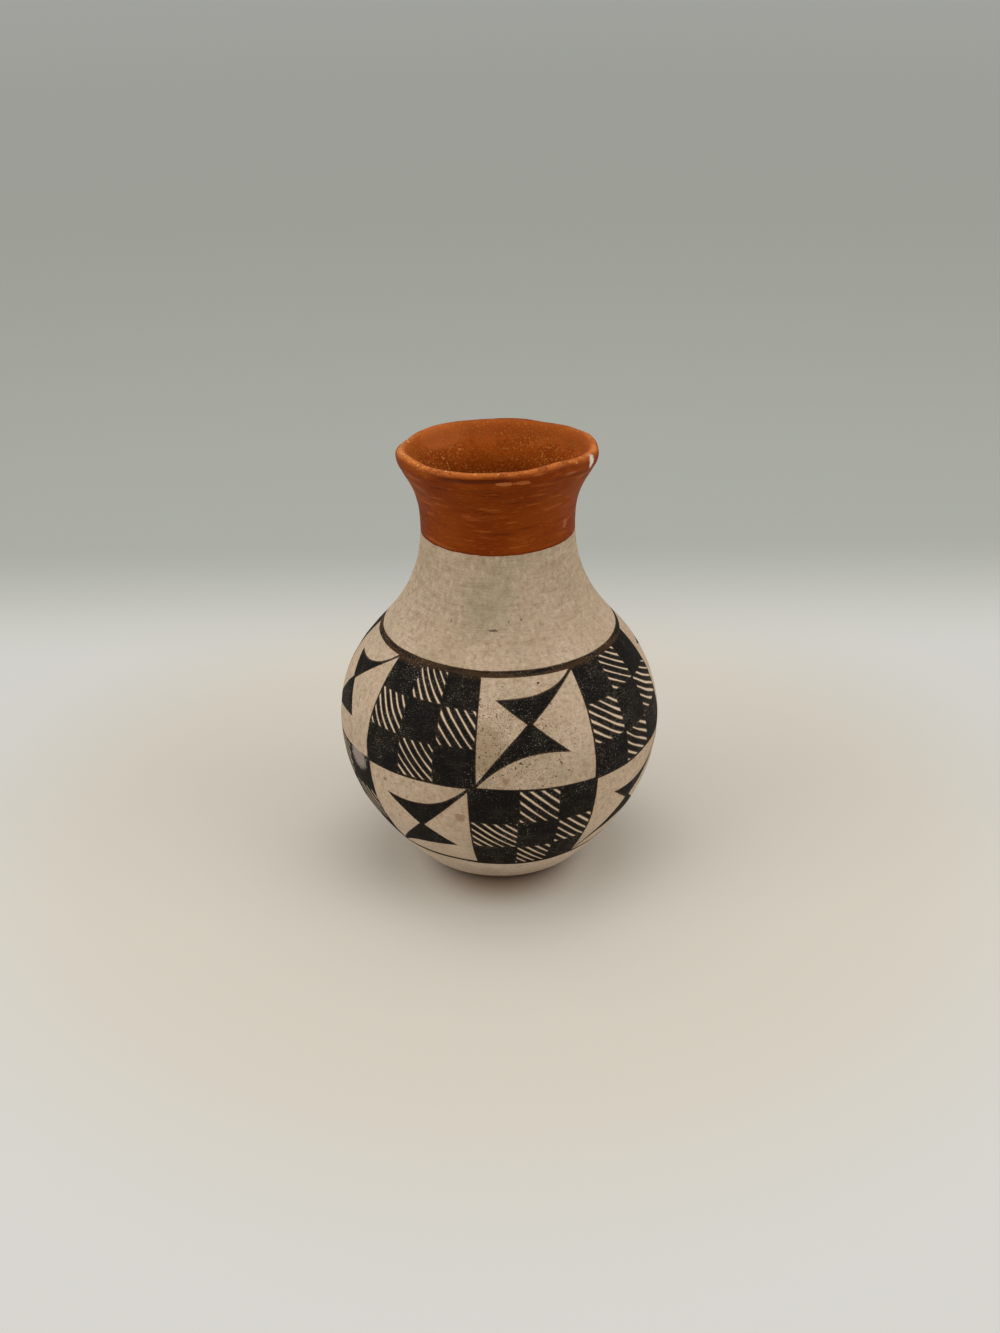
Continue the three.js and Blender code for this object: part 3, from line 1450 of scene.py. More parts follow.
@dataclass(frozen=True)
class Checker(Effect):
    """The checkerboard of nine squares, five black and four hatched, in the other panels.

    Attributes:
        panel_size: About how wide a panel is, in millimetres.
        pitch: How far apart the hatching's strokes are.
        pitch_stray: How much that differs from square to square.
        white: How wide the clay is left between two strokes.
        white_stray: How much that differs along them.
        slant_stray: How much the strokes' slant differs from square to square, in degrees.
        bow: How much the strokes bow.
        frame: How wide the squares' black edges are.
        waver: How far the strokes waver.
        waver_noise: What makes them waver.
        white_elsewhere: How far off the clay's width is read, so that it differs.
        stroke_from: Where in the pitch the first stroke of a square lies.
        stroke_stray: How much that differs from square to square.
    """

    panel_size: float = 34
    pitch: float = 2.15
    pitch_stray: float = 0.2
    white: float = 0.55
    white_stray: float = 0.8
    slant_stray: float = 6
    bow: float = 0.004
    frame: float = 0.32
    waver: float = 0.5
    waver_noise: Noise = Noise(110, 0)
    white_elsewhere: Triple = (0, 0, 1)
    stroke_from: float = 0.25
    stroke_stray: float = 0.5

    TAKES = numbers("Across", "Up", "Panel") | vectors("Position", "Columns", "Rows")
    GIVES = numbers("Ink", "Hatched")

    def square(self, g: Graph, share: Num, lines: Num) -> tuple[Num, Num, Num]:
        """Finds a point's square along one side of the panel.

        Args:
            g: The graph to write in.
            share: How far along the side the point is.
            lines: Where the two lines between the squares are, and a third number.

        Returns:
            The square's number, the point's distance from its middle, and that from its edge.
        """
        first, second, _ = g.split(lines)
        past_first = g.math("GREATER_THAN", share, first)
        past_second = g.math("GREATER_THAN", share, second)
        low = past_first * first + past_second * (second - first)
        high = first + past_first * (second - first) + past_second * (1 - second)
        from_middle = (share - (low + high) * 0.5) * self.panel_size
        from_edge = g.least(share - low, high - share) * self.panel_size
        return past_first + past_second, from_middle, from_edge

    def draw(self, g: Graph, given: dict[str, Num]) -> dict[str, Num]:
        """Writes the group's nodes.

        Args:
            g: The graph to write in.
            given: The inputs by name.

        Returns:
            The outputs by name.
        """
        column, x, x_edge = self.square(g, given["Across"], given["Columns"])
        row, y, y_edge = self.square(g, given["Up"], given["Rows"])
        odd = g.math("PINGPONG", column + row, 1)
        node = g.add("ShaderNodeTexWhiteNoise", noise_dimensions="3D")
        g.feed(node.inputs["Vector"], g.join(column, row, given["Panel"]))
        stray_phase, stray_slant, stray_pitch = g.split(Num(g, node.outputs["Color"]))
        waver = g.stray(given["Position"], self.waver_noise) * self.waver
        _, _, usual_slant = g.split(given["Columns"])
        slant = ((stray_slant - 0.5) * self.slant_stray + usual_slant) * math.radians(1)
        pitch = (stray_pitch - 0.5) * self.pitch_stray + self.pitch
        sine, cosine = g.math("SINE", slant), g.math("COSINE", slant)
        along = x * cosine - y * sine
        across = x * sine + y * cosine + waver - along * along * self.bow
        turns = across / pitch + stray_phase * self.stroke_stray + self.stroke_from
        from_white = abs(g.math("FRACT", turns) - 0.5) * pitch
        shifted = g.vector("ADD", given["Position"], self.white_elsewhere)
        stray = g.stray(shifted, self.waver_noise) * self.white_stray
        hatch = from_white - (stray + self.white) * 0.5
        frame = self.frame - g.least(x_edge, y_edge)
        return {"Ink": g.most(1 - odd * 2, hatch, frame), "Hatched": odd}


@dataclass(frozen=True)
class Figure:
    """How one panel's figure was drawn, where the photograph shows it.

    Attributes:
        panel: The panel's number, with 10 added in the upper tier.
        left_tip: Where the left tip is, and how far the fin's top sags.
        right_tip: The same for the right one.
        waist: Where the waist is, and how far the sides bulge.
    """

    panel: int
    left_tip: Triple
    right_tip: Triple
    waist: Triple

    def inputs(self) -> dict[str, Triple]:
        """Names its points as the hourglass's inputs are named."""
        return {"Left tip": self.left_tip, "Right tip": self.right_tip, "Waist": self.waist}


@dataclass(frozen=True)
class Board:
    """How one panel's squares were ruled, where the photograph shows it.

    Attributes:
        panel: The panel's number, with 10 added in the upper tier.
        columns: Where the two upright lines are, and how far the hatching slants in degrees.
        rows: Where the two level lines are, and a zero.
    """

    panel: int
    columns: Triple
    rows: Triple

    def inputs(self) -> dict[str, Triple]:
        """Names its lines as the checkerboard's inputs are named."""
        return {"Columns": self.columns, "Rows": self.rows}


@dataclass(frozen=True)
class Mark:
    """A mark that the photograph shows in one place.

    Attributes:
        angle: Its angle on the wall.
        height: Its height in millimetres.
        radius: The wall's radius there.
        reach: Its half size around and up the wall.
        tone: Its colour.
        share: How strongly it shows.
    """

    angle: float
    height: float
    radius: float
    reach: tuple[float, float]
    tone: str
    share: float

    def middle(self) -> Triple:
        """Finds the mark's middle.

        Returns:
            Its position in metres.
        """
        turn = math.radians(self.angle)
        out = self.radius * MM
        return out * math.sin(turn), -out * math.cos(turn), self.height * MM

    def half_size(self) -> Triple:
        """Finds the mark's half size along each axis, in metres."""
        around, up = self.reach
        return around * MM, around * MM, up * MM


@dataclass(frozen=True)
class MarkMask(Effect):
    """A soft, ragged spot on the surface.

    Attributes:
        ragged: How ragged its edge is, as a share of its half size.
        ragged_noise: What makes it ragged.
        edge: How it fades out, by the distance from its middle.
    """

    ragged: float = 1.1
    ragged_noise: Noise = Noise(1800)
    edge: Ramp = Ramp(1.1, 0.7)

    TAKES = vectors("Position", "Middle", "Reach")
    GIVES = numbers("Mask")

    def draw(self, g: Graph, given: dict[str, Num]) -> dict[str, Num]:
        """Writes the group's nodes.

        Args:
            g: The graph to write in.
            given: The inputs by name.

        Returns:
            The outputs by name.
        """
        away = g.vector("SUBTRACT", given["Position"], given["Middle"])
        scaled = g.vector("DIVIDE", away, given["Reach"])
        ragged = g.stray(given["Position"], self.ragged_noise) * self.ragged
        return {"Mask": g.ramp(g.vector("LENGTH", scaled) + ragged, self.edge)}


class Texture(Enum):
    """The textures of a slipped clay surface, by the names of the grain's outputs."""

    MOTTLE = "Mottle"
    PATCHES = "Patches"
    BLOTCH = "Blotch"
    GRAIN = "Grain"
    CRACKLE = "Crackle"
    BRUSH = "Brush"
    STREAKS = "Streaks"
    FLECKS = "Flecks"
    SPECKS = "Specks"


@dataclass(frozen=True)
class Grain(Effect):
    """The mottling, brush strokes, grain and flecks of a slipped clay surface.

    Attributes:
        brush_stretch: How much flatter than round the brush strokes and streaks lie.
        crackle_stretch: The same for the crackle, which stands upright.
        fleck_edge: The noise at which a fleck comes in.
        speck_edge: The noise at which a speck comes in.
        elsewhere: How far off the patches and flecks are read, so that they lie apart.
    """

    mottle: Noise = Noise(45, 3)
    patches: Noise = Noise(60)
    blotch: Noise = Noise(210, 3, 0.55)
    grain: Noise = Noise(1500, 2, 0.6)
    crackle: Noise = Noise(750, 3, 0.65)
    brush: Noise = Noise(340, 2, 0.55)
    streaks: Noise = Noise(90, 4, 0.6)
    flecks: Noise = Noise(760, 1)
    specks: Noise = Noise(2500, 1)
    brush_stretch: float = 8
    crackle_stretch: float = 0.6
    fleck_edge: Ramp = Ramp(0.69, 0.75)
    speck_edge: Ramp = Ramp(0.58, 0.68)
    elsewhere: Triple = (0.3, 0.7, 0.1)

    TAKES = vectors("Position")
    GIVES = numbers(*(texture.value for texture in Texture))

    def draw(self, g: Graph, given: dict[str, Num]) -> dict[str, Num]:
        """Writes the group's nodes.

        Args:
            g: The graph to write in.
            given: The inputs by name.

        Returns:
            The outputs by name.
        """
        position = given["Position"]
        elsewhere = g.vector("ADD", position, self.elsewhere)
        flat = g.vector("MULTIPLY", position, (1, 1, self.brush_stretch))
        upright = g.vector("MULTIPLY", position, (1, 1, self.crackle_stretch))
        textures = {
            Texture.MOTTLE: g.noise(position, self.mottle),
            Texture.PATCHES: g.noise(elsewhere, self.patches),
            Texture.BLOTCH: g.noise(position, self.blotch),
            Texture.GRAIN: g.noise(position, self.grain),
            Texture.CRACKLE: g.noise(upright, self.crackle),
            Texture.BRUSH: g.noise(flat, self.brush),
            Texture.STREAKS: g.noise(flat, self.streaks),
            Texture.FLECKS: g.ramp(g.noise(elsewhere, self.flecks), self.fleck_edge),
            Texture.SPECKS: g.ramp(g.noise(position, self.specks), self.speck_edge),
        }
        return {texture.value: number for texture, number in textures.items()}


# The finishes


@dataclass(frozen=True)
class Point:
    """What a finish reads off the pot at the point that it colours.

    Attributes:
        position: Where the point is, in metres.
        angle: Its angle on the wall.
        place: Its place on the wall.
        radius: Its distance from the axis in millimetres.
        grain: The textures of the clay there.
    """

    position: Num
    angle: Num
    place: Num
    radius: Num
    grain: dict[Texture, Num]

    def frayed(self, value: Value, fray: float) -> Num:
        """Makes a number stray with the clay's blotches, so that an edge made with it is ragged."""
        return (self.grain[Texture.BLOTCH] - 0.5) * fray + value


class Zone(Enum):
    """The parts of the pot that a coat can be kept to."""

    WHOLE = "whole"
    NECK = "neck"
    ABOVE_FOOT = "above the foot"


@dataclass(frozen=True)
class Coat:
    """A tone that one texture of the clay lays over a slip.

    Attributes:
        texture: The texture.
        ramp: Where in it the tone comes in, and how strongly.
        tone: The tone.
        zone: The part of the pot that it is kept to.
    """

    texture: Texture
    ramp: Ramp
    tone: str
    zone: Zone = Zone.WHOLE


@dataclass(frozen=True)
class Finish:
    """A material of the pot.

    RELIEF_DEPTH is how deep its relief is in metres, GLOSS how strongly it shines, and RELIEF lists
    the textures that make the relief, with their shares.

    Attributes:
        name: Its name.
    """

    name: str

    RELIEF_DEPTH = 0.0001
    GLOSS = 0.08
    RELIEF = ()

    def surface(self) -> tuple[bpy.types.Material, Graph, Point]:
        """Starts the material with what every finish reads off the pot.

        Returns:
            The material, its graph, and the point that it colours.
        """
        material = bpy.data.materials.new(self.name)
        material.use_nodes = True
        g = Graph(material.node_tree)
        position = Num(g, g.add("ShaderNodeTexCoord").outputs["Object"])
        x, y, _ = g.split(position)
        angle = g.math("ARCTAN2", x, y * -1) * math.degrees(1)
        place = Num(g, g.add("ShaderNodeAttribute", attribute_name=PLACE_ATTRIBUTE).outputs["Fac"])
        radius = g.vector("LENGTH", g.vector("MULTIPLY", position, (1, 1, 0))) / MM
        grain = g.use(Grain(), Position=position)
        textures = {texture: grain[texture.value] for texture in Texture}
        return material, g, Point(position, angle, place, radius, textures)

    def shader(self, g: Graph, tint: Num, rough: Num, height: Num) -> None:
        """Feeds the material's Principled shader.

        Args:
            g: The material's graph.
            tint: The base colour.
            rough: The roughness.
            height: The height of the relief, from 0 to 1.
        """
        shader = next(n for n in g.tree.nodes if n.type == "BSDF_PRINCIPLED")
        bump = g.add("ShaderNodeBump")
        bump.inputs["Distance"].default_value = self.RELIEF_DEPTH
        g.feed(bump.inputs["Height"], height)
        g.feed(shader.inputs["Base Color"], tint)
        g.feed(shader.inputs["Roughness"], rough)
        g.tree.links.new(bump.outputs["Normal"], shader.inputs["Normal"])
        shader.inputs["Specular IOR Level"].default_value = self.GLOSS

    def relief(self, point: Point) -> Num:
        """Adds up the textures that make the relief's height at a point."""
        parts = [point.grain[texture] * share for texture, share in self.RELIEF]
        return sum(parts[1:], parts[0])

    def coated(
        self, g: Graph, tint: Num, point: Point, coats: Sequence[Coat], zones: dict[Zone, Num]
    ) -> Num:
        """Lays coats over a colour.

        Args:
            g: The material's graph.
            tint: The colour under them.
            point: The point.
            coats: The coats.
            zones: How far the point is in each zone that the coats are kept to.

        Returns:
            The colour with them.
        """
        for coat in coats:
            share = g.ramp(point.grain[coat.texture], coat.ramp)
            if coat.zone is not Zone.WHOLE:
                share = share * zones[coat.zone]
            tint = g.mix(share, tint, colour(coat.tone))
        return tint

    def marked(self, g: Graph, tint: Num, point: Point, marks: Sequence[Mark]) -> Num:
        """Lays marks over a colour.

        Args:
            g: The material's graph.
            tint: The colour under them.
            point: The point.
            marks: The marks.

        Returns:
            The colour with them.
        """
        for mark in marks:
            mask = g.use(
                MarkMask(), Position=point.position, Middle=mark.middle(), Reach=mark.half_size()
            )
            tint = g.mix(mask["Mask"] * mark.share, tint, colour(mark.tone))
        return tint


@dataclass(frozen=True)
class PaintedSlip(Finish):
    """The cream slip with the black painted band.

    A tone is named by what it colours, and a ramp by what comes in over it.

    Attributes:
        plan: Where the band's lines and panels are.
        figures: The hourglass figures that the photograph shows.
        boards: The checkerboards that it shows.
        marks: The marks on the slip, under the paint.
        worn: The marks on the paint.
        slip_line: The place where the orange slip takes over.
    """

    plan: PanelPlan
    figures: tuple[Figure, ...]
    boards: tuple[Board, ...]
    marks: tuple[Mark, ...]
    worn: tuple[Mark, ...]
    slip_line: float
    usual_figure: Figure = Figure(0, (0.18, 0.78, 0.06), (0.80, 0.28, 0.08), (0.48, 0.54, 0.12))
    usual_board: Board = Board(0, (0.34, 0.66, 46), (0.32, 0.66, 0))

    warm: str = "b19a7f"
    light: str = "bca68c"
    pale: str = "cdb9a4"
    palest: str = "dac6b0"
    grey: str = "a09378"
    fresh: str = "d3bfa5"
    olive: str = "8d8262"
    dark: str = "8a7059"
    speck: str = "5a4532"
    black: str = "110f0c"
    brown_black: str = "2b241c"
    rim: str = "4a3826"
    thin_brown: str = "432f1a"
    fleck_on_black: str = "b8ab98"
    halo: str = "6b5238"
    orange: str = "7c340b"
    clay: str = "9c7a58"

    neck_fade: float = 15
    foot_pale: float = 0.65
    foot_smooth: float = 0.7
    below_band: Ramp = Ramp(0.5, -3, 0.75)
    mottled: Ramp = Ramp(0.35, 0.65)
    patchy: Ramp = Ramp(0.48, 0.66, 0.4)
    stain_fray: float = 0.5
    stained: Ramp = Ramp(0.42, 0.7, 0.2)
    stain_least: float = 0.16
    coats: tuple[Coat, ...] = (
        Coat(Texture.STREAKS, Ramp(0.5, 0.7, 0.4), dark, Zone.NECK),
        Coat(Texture.BRUSH, Ramp(0.52, 0.72, 0.3), light),
        Coat(Texture.BRUSH, Ramp(0.5, 0.3, 0.35), dark),
        Coat(Texture.CRACKLE, Ramp(0.5, 0.7, 0.5), dark, Zone.ABOVE_FOOT),
        Coat(Texture.CRACKLE, Ramp(0.48, 0.3, 0.35), pale),
        Coat(Texture.GRAIN, Ramp(0.5, 0.75, 0.35), dark),
        Coat(Texture.BLOTCH, Ramp(0.55, 0.8, 0.2), grey),
    )

    dusty: Mark = Mark(1, 60, 47.5, (18, 15), speck, 0.85)
    dusty_edge: Ramp = Ramp(1.5, 0.6)
    dust_mottled: Ramp = Ramp(0.45, 0.65, 0.25)
    dust_least: float = 0.08
    dust_flecks: float = 1.4

    hatch_fresh: Ramp = Ramp(0, 0.5, 0.6)
    ink_fray: float = 0.25
    ink_edge: Ramp = Ramp(-0.07, 0.07)
    halo_edge: Ramp = Ramp(-0.16, 0.0, 0.3)
    thin: Ramp = Ramp(0.46, 0.64, 0.6)
    thin_rim: Ramp = Ramp(0.45, 0.1, 0.7)
    top_line: Ramp = Ramp(-2.2, -0.8, 0.75)
    top_line_streaks: Ramp = Ramp(0.38, 0.58)
    prick_noise: Noise = Noise(3000, 1)
    pricked: Ramp = Ramp(0.62, 0.76)
    prick_fray: float = 0.6
    prick_crowd: Ramp = Ramp(0.42, 0.66, 0.5)
    prick_least: float = 0.12

    slip_fray: float = 0.8
    slip_edge: Ramp = Ramp(-0.22, -0.12)
    foot_fray: float = 4
    bare_foot: Ramp = Ramp(0.6, -0.6, 0.6)
    rough_least: float = 0.5
    rough_grain: float = 0.25
    rough_ink: float = 0.08
    ink_thickness: float = 0.12

    RELIEF = (
        (Texture.GRAIN, 0.5),
        (Texture.BLOTCH, 0.5),
        (Texture.BRUSH, 0.3),
        (Texture.FLECKS, -0.5),
    )

    def build(self) -> bpy.types.Material:
        """Makes the material.

        Returns:
            The material.
        """
        material, g, point = self.surface()
        grain = point.grain
        tint = self.cream(g, point)
        tint = self.marked(g, tint, point, self.marks)
        ink, hatched = self.ink(g, point)
        tint = g.mix(g.ramp(hatched, self.hatch_fresh), tint, colour(self.fresh))
        ink = ink + (grain[Texture.GRAIN] - 0.5) * self.ink_fray
        inked = g.ramp(ink, self.ink_edge)
        tint = g.mix(g.ramp(ink, self.halo_edge), tint, colour(self.halo))
        tint = g.mix(inked, tint, self.paint(g, point, ink))
        tint = self.marked(g, tint, point, self.worn)
        slipped = g.ramp(point.frayed(point.place - self.slip_line, self.slip_fray), self.slip_edge)
        tint = g.mix(slipped, tint, colour(self.orange))
        bare = g.ramp(point.frayed(point.place, self.foot_fray), self.bare_foot)
        tint = g.mix(bare, tint, colour(self.clay))
        rough = grain[Texture.GRAIN] * self.rough_grain + self.rough_least + inked * self.rough_ink
        self.shader(g, tint, rough, self.relief(point) + inked * self.ink_thickness)
        return material

    def cream(self, g: Graph, point: Point) -> Num:
        """Mixes the cream slip, olive and streaked on the neck and paler towards the foot.

        Args:
            g: The material's graph.
            point: The point.

        Returns:
            Its colour.
        """
        grain = point.grain
        top, middle, low = (line.place for line in (self.plan.top, self.plan.middle, self.plan.low))
        neck = g.ease(point.place, top, top + self.neck_fade)
        foot = g.ease(point.place, middle, low)
        mottled = g.ramp(grain[Texture.MOTTLE], self.mottled)
        tint = g.mix(mottled, colour(self.warm), colour(self.light))
        tint = g.mix(foot * self.foot_pale, tint, colour(self.pale))
        tint = g.mix(g.ramp(point.place - low, self.below_band), tint, colour(self.palest))
        tint = g.mix(g.ramp(grain[Texture.PATCHES], self.patchy), tint, colour(self.grey))
        stained = g.ramp(point.frayed(grain[Texture.PATCHES], self.stain_fray), self.stained)
        tint = g.mix(neck * (stained + self.stain_least), tint, colour(self.olive))
        zones = {Zone.NECK: neck, Zone.ABOVE_FOOT: 1 - foot * self.foot_smooth}
        return self.dusted(g, self.coated(g, tint, point, self.coats, zones), point)

    def dusted(self, g: Graph, tint: Num, point: Point) -> Num:
        """Sprinkles the slip with dark specks, thickest in the upper panel at the front.

        Args:
            g: The material's graph.
            tint: The slip's colour.
            point: The point.

        Returns:
            The colour with the specks.
        """
        grain = point.grain
        away = g.vector("SUBTRACT", point.position, self.dusty.middle())
        away = g.vector("LENGTH", g.vector("DIVIDE", away, self.dusty.half_size()))
        here = g.ramp(away, self.dusty_edge) * self.dusty.share
        dust = g.ramp(grain[Texture.MOTTLE], self.dust_mottled) + here + self.dust_least
        tint = g.mix(grain[Texture.SPECKS] * dust, tint, colour(self.dusty.tone))
        return g.mix(grain[Texture.FLECKS] * dust * self.dust_flecks, tint, colour(self.dusty.tone))

    def picked(
        self, g: Graph, panel: Num, usual: Figure | Board, seen: Sequence[Figure | Board]
    ) -> dict[str, Value]:
        """Picks how a panel's motif was drawn.

        Args:
            g: The material's graph.
            panel: The panel's number.
            usual: How it is drawn in a panel that the photograph doesn't show.
            seen: How it was drawn in those that it shows.

        Returns:
            What the motif takes, by name.
        """
        picked = usual.inputs()
        for motif in seen:
            here = g.math("COMPARE", panel, motif.panel, 0.5)
            for name, own in motif.inputs().items():
                picked[name] = g.mix(here, picked[name], own, Blend.VECTORS)
        return picked

    def ink(self, g: Graph, point: Point) -> tuple[Num, Num]:
        """Draws the band.

        Args:
            g: The material's graph.
            point: The point.

        Returns:
            How far inside the ink the point lies in millimetres, below zero outside it, and
            whether it is in a hatched square.
        """
        plan = g.use(
            self.plan,
            Position=point.position,
            Angle=point.angle,
            Place=point.place,
            Radius=point.radius,
        )
        panel, across, up = plan["Panel"], plan["Across"], plan["Up"]
        figure = self.picked(g, panel, self.usual_figure, self.figures)
        hourglass = g.use(Hourglass(Fin()), Across=across, Up=up, **figure)
        board = self.picked(g, panel, self.usual_board, self.boards)
        checker = g.use(
            Checker(), Position=point.position, Across=across, Up=up, Panel=panel, **board
        )
        # The tiers start with different motifs, so that a figure never stands over a figure
        upper = g.math("GREATER_THAN", panel, UPPER_TIER - 0.5)
        odd = g.math("PINGPONG", panel + upper, 1)
        motif = checker["Ink"] + (hourglass["Ink"] - checker["Ink"]) * odd
        hatched = g.least(checker["Hatched"], 1 - odd, plan["Inside band"])
        return g.most(plan["Line ink"], g.least(motif, plan["Inside band"])), hatched

    def paint(self, g: Graph, point: Point, ink: Num) -> Num:
        """Mixes the black paint, brownish along its rim and in the top line, with pale pinpricks.

        Args:
            g: The material's graph.
            point: The point.
            ink: How far inside the ink it lies.

        Returns:
            Its colour.
        """
        grain = point.grain
        thickness = (grain[Texture.BRUSH] + grain[Texture.BLOTCH]) / 2
        paint = g.mix(g.ramp(thickness, self.thin), colour(self.black), colour(self.brown_black))
        paint = g.mix(g.ramp(ink, self.thin_rim), paint, colour(self.rim))
        on_top_line = g.ramp(point.place - self.plan.top.place, self.top_line)
        sparing = on_top_line * g.ramp(grain[Texture.STREAKS], self.top_line_streaks)
        paint = g.mix(sparing, paint, colour(self.thin_brown))
        pricks = g.ramp(g.noise(point.position, self.prick_noise), self.pricked)
        crowd = g.ramp(point.frayed(grain[Texture.PATCHES], self.prick_fray), self.prick_crowd)
        return g.mix(pricks * (crowd + self.prick_least), paint, colour(self.fleck_on_black))


@dataclass(frozen=True)
class OrangeSlip(Finish):
    """The orange slip of the throat and the lip, and the grainy inside that it runs into.

    A tone is named by what it colours, and a ramp by what comes in over it.

    Attributes:
        slip_line: The place where it starts from the cream slip.
        crown_place: The place of the lip's crown.
        crease_place: The place of the crease under the lip's front, which is darkened as painted
            shade.
        marks: The marks on it, and a patch of painted light at the back of the lip and inside it.
    """

    slip_line: float
    crown_place: float
    crease_place: float
    marks: tuple[Mark, ...]

    deep: str = "702b02"
    mid: str = "803803"
    streak: str = "a65a22"
    # the crown's tone stands for its wear and also for its painted highlight
    crown: str = "be6a2c"
    gold: str = "c58440"
    # painted highlight of the glints on the crown
    glint: str = "e0ac68"
    # dirt in streaks and at the slip's edge, and painted shade in the crease under the lip
    dirt_and_shade: str = "431503"
    # painted light on the inside just under the crown
    mouth: str = "a3531d"
    sand: str = "803503"
    bright_sand: str = "944308"
    dark_sand: str = "6a2800"
    bare: str = "5e3a24"

    mottled: Ramp = Ramp(0.35, 0.7)
    coats: tuple[Coat, ...] = (
        Coat(Texture.STREAKS, Ramp(0.55, 0.69, 0.5), streak),
        Coat(Texture.BRUSH, Ramp(0.58, 0.72, 0.4), streak),
        Coat(Texture.STREAKS, Ramp(0.45, 0.3, 0.5), dirt_and_shade),
    )
    slip_fray: float = 0.6
    dirty_edge: Ramp = Ramp(0.7, 0, 0.6)

    crown_band: Ramp = Ramp(2.8, 0.4)
    # painted shade on the crown at the back, painted highlight on it at the sides, and painted
    # glints
    crown_shade_behind: Ramp = Ramp(105, 145, 0.75)
    crown_light_aside: Ramp = Ramp(25, 75, 0.25)
    crown_least: float = 0.2
    worn_fray: float = 0.7
    worn: Ramp = Ramp(0.38, 0.6, 0.55)
    glints_left: Ramp = Ramp(-15, -55, 0.7)
    glints_least: float = 0.2
    crease_shade_from: Ramp = Ramp(-40, -26)
    crease_shade_to: Ramp = Ramp(14, 2)
    crease_shade_band: Ramp = Ramp(0.9, 0.2, 0.75)

    sand_mottled: Ramp = Ramp(0.35, 0.65)
    sand_blotch: Ramp = Ramp(0.46, 0.7, 0.45)
    sand_bright: Ramp = Ramp(0.52, 0.7)
    sand_dark: Ramp = Ramp(0.46, 0.3)
    sand_rubbed: Ramp = Ramp(0.5, 0.66, 0.4)
    bright_most: float = 0.6
    dark_most: float = 0.8
    gold_flecks: float = 0.6
    bare_below: Ramp = Ramp(0.092, 0.07)
    mouth_light_fray: float = 6
    mouth_light_fade: Ramp = Ramp(9, 3, 0.55)
    inside_fray: float = 0.9
    inside_edge: Ramp = Ramp(-0.4, 1.2)

    rough_least: float = 0.42
    rough_blotch: float = 0.25
    rough_inside: float = 0.2

    RELIEF_DEPTH = 0.00015
    GLOSS = 0.05
    RELIEF = (
        (Texture.GRAIN, 0.4),
        (Texture.BLOTCH, 0.6),
        (Texture.BRUSH, 0.4),
    )

    def build(self) -> bpy.types.Material:
        """Makes the material.

        Returns:
            The material.
        """
        material, g, point = self.surface()
        past_crown = point.place - self.crown_place
        inner, sandy = self.grainy(g, point)
        # painted light: the inside just under the crown is lighter, where light falls into the
        # mouth
        mouth = g.ramp(point.frayed(past_crown, self.mouth_light_fray), self.mouth_light_fade)
        inner = g.mix(mouth, inner, colour(self.mouth))
        inside = g.ramp(point.frayed(past_crown, self.inside_fray), self.inside_edge)
        tint = g.mix(inside, self.burnished(g, point), inner)
        tint = self.marked(g, tint, point, self.marks)
        rough = point.grain[Texture.BLOTCH] * self.rough_blotch + self.rough_least
        rough = rough + inside * self.rough_inside
        self.shader(g, tint, rough, self.relief(point) + inside * sandy)
        return material

    def burnished(self, g: Graph, point: Point) -> Num:
        """Mixes the burnished slip of the outside, its crown with wear and painted light, and
        painted shade in the crease under it.

        Args:
            g: The material's graph.
            point: The point.

        Returns:
            Its colour.
        """
        mottled = g.ramp(point.grain[Texture.MOTTLE], self.mottled)
        tint = g.mix(mottled, colour(self.deep), colour(self.mid))
        tint = self.coated(g, tint, point, self.coats, {})
        edge = g.ramp(point.frayed(point.place - self.slip_line, self.slip_fray), self.dirty_edge)
        tint = g.mix(edge, tint, colour(self.dirt_and_shade))
        tint = self.crowned(g, tint, point)
        # painted shade: the crease under the front of the lip is darkened
        front = g.ramp(point.angle, self.crease_shade_from) * g.ramp(point.angle, self.crease_shade_to)
        crease = g.ramp(abs(point.place - self.crease_place), self.crease_shade_band)
        return g.mix(crease * front, tint, colour(self.dirt_and_shade))

    def crowned(self, g: Graph, tint: Num, point: Point) -> Num:
        """Lightens the lip's crown where it is worn and with a painted highlight, stronger at its
        sides, keeps its back darker as painted shade, and adds painted golden glints.

        Args:
            g: The material's graph.
            tint: The slip's colour.
            point: The point.

        Returns:
            The colour with the worn crown.
        """
        grain = point.grain
        aside = abs(point.angle)
        crown = g.ramp(abs(point.place - self.crown_place), self.crown_band)
        # painted shade: the crown is kept darker at the back
        crown = crown * (1 - g.ramp(aside, self.crown_shade_behind))
        rubbed = grain[Texture.BLOTCH] + (grain[Texture.GRAIN] - 0.5) * self.worn_fray
        # real wear where the clay is rubbed, and a painted highlight that is stronger at the sides
        share = g.ramp(rubbed, self.worn) + g.ramp(aside, self.crown_light_aside) + self.crown_least
        tint = g.mix(crown * share, tint, colour(self.crown))
        # painted glints: highlights on grains of the crown, more on the left
        left = g.ramp(point.angle, self.glints_left) + self.glints_least
        glints = g.most(grain[Texture.FLECKS], grain[Texture.SPECKS] * left)
        return g.mix(crown * glints, tint, colour(self.glint))

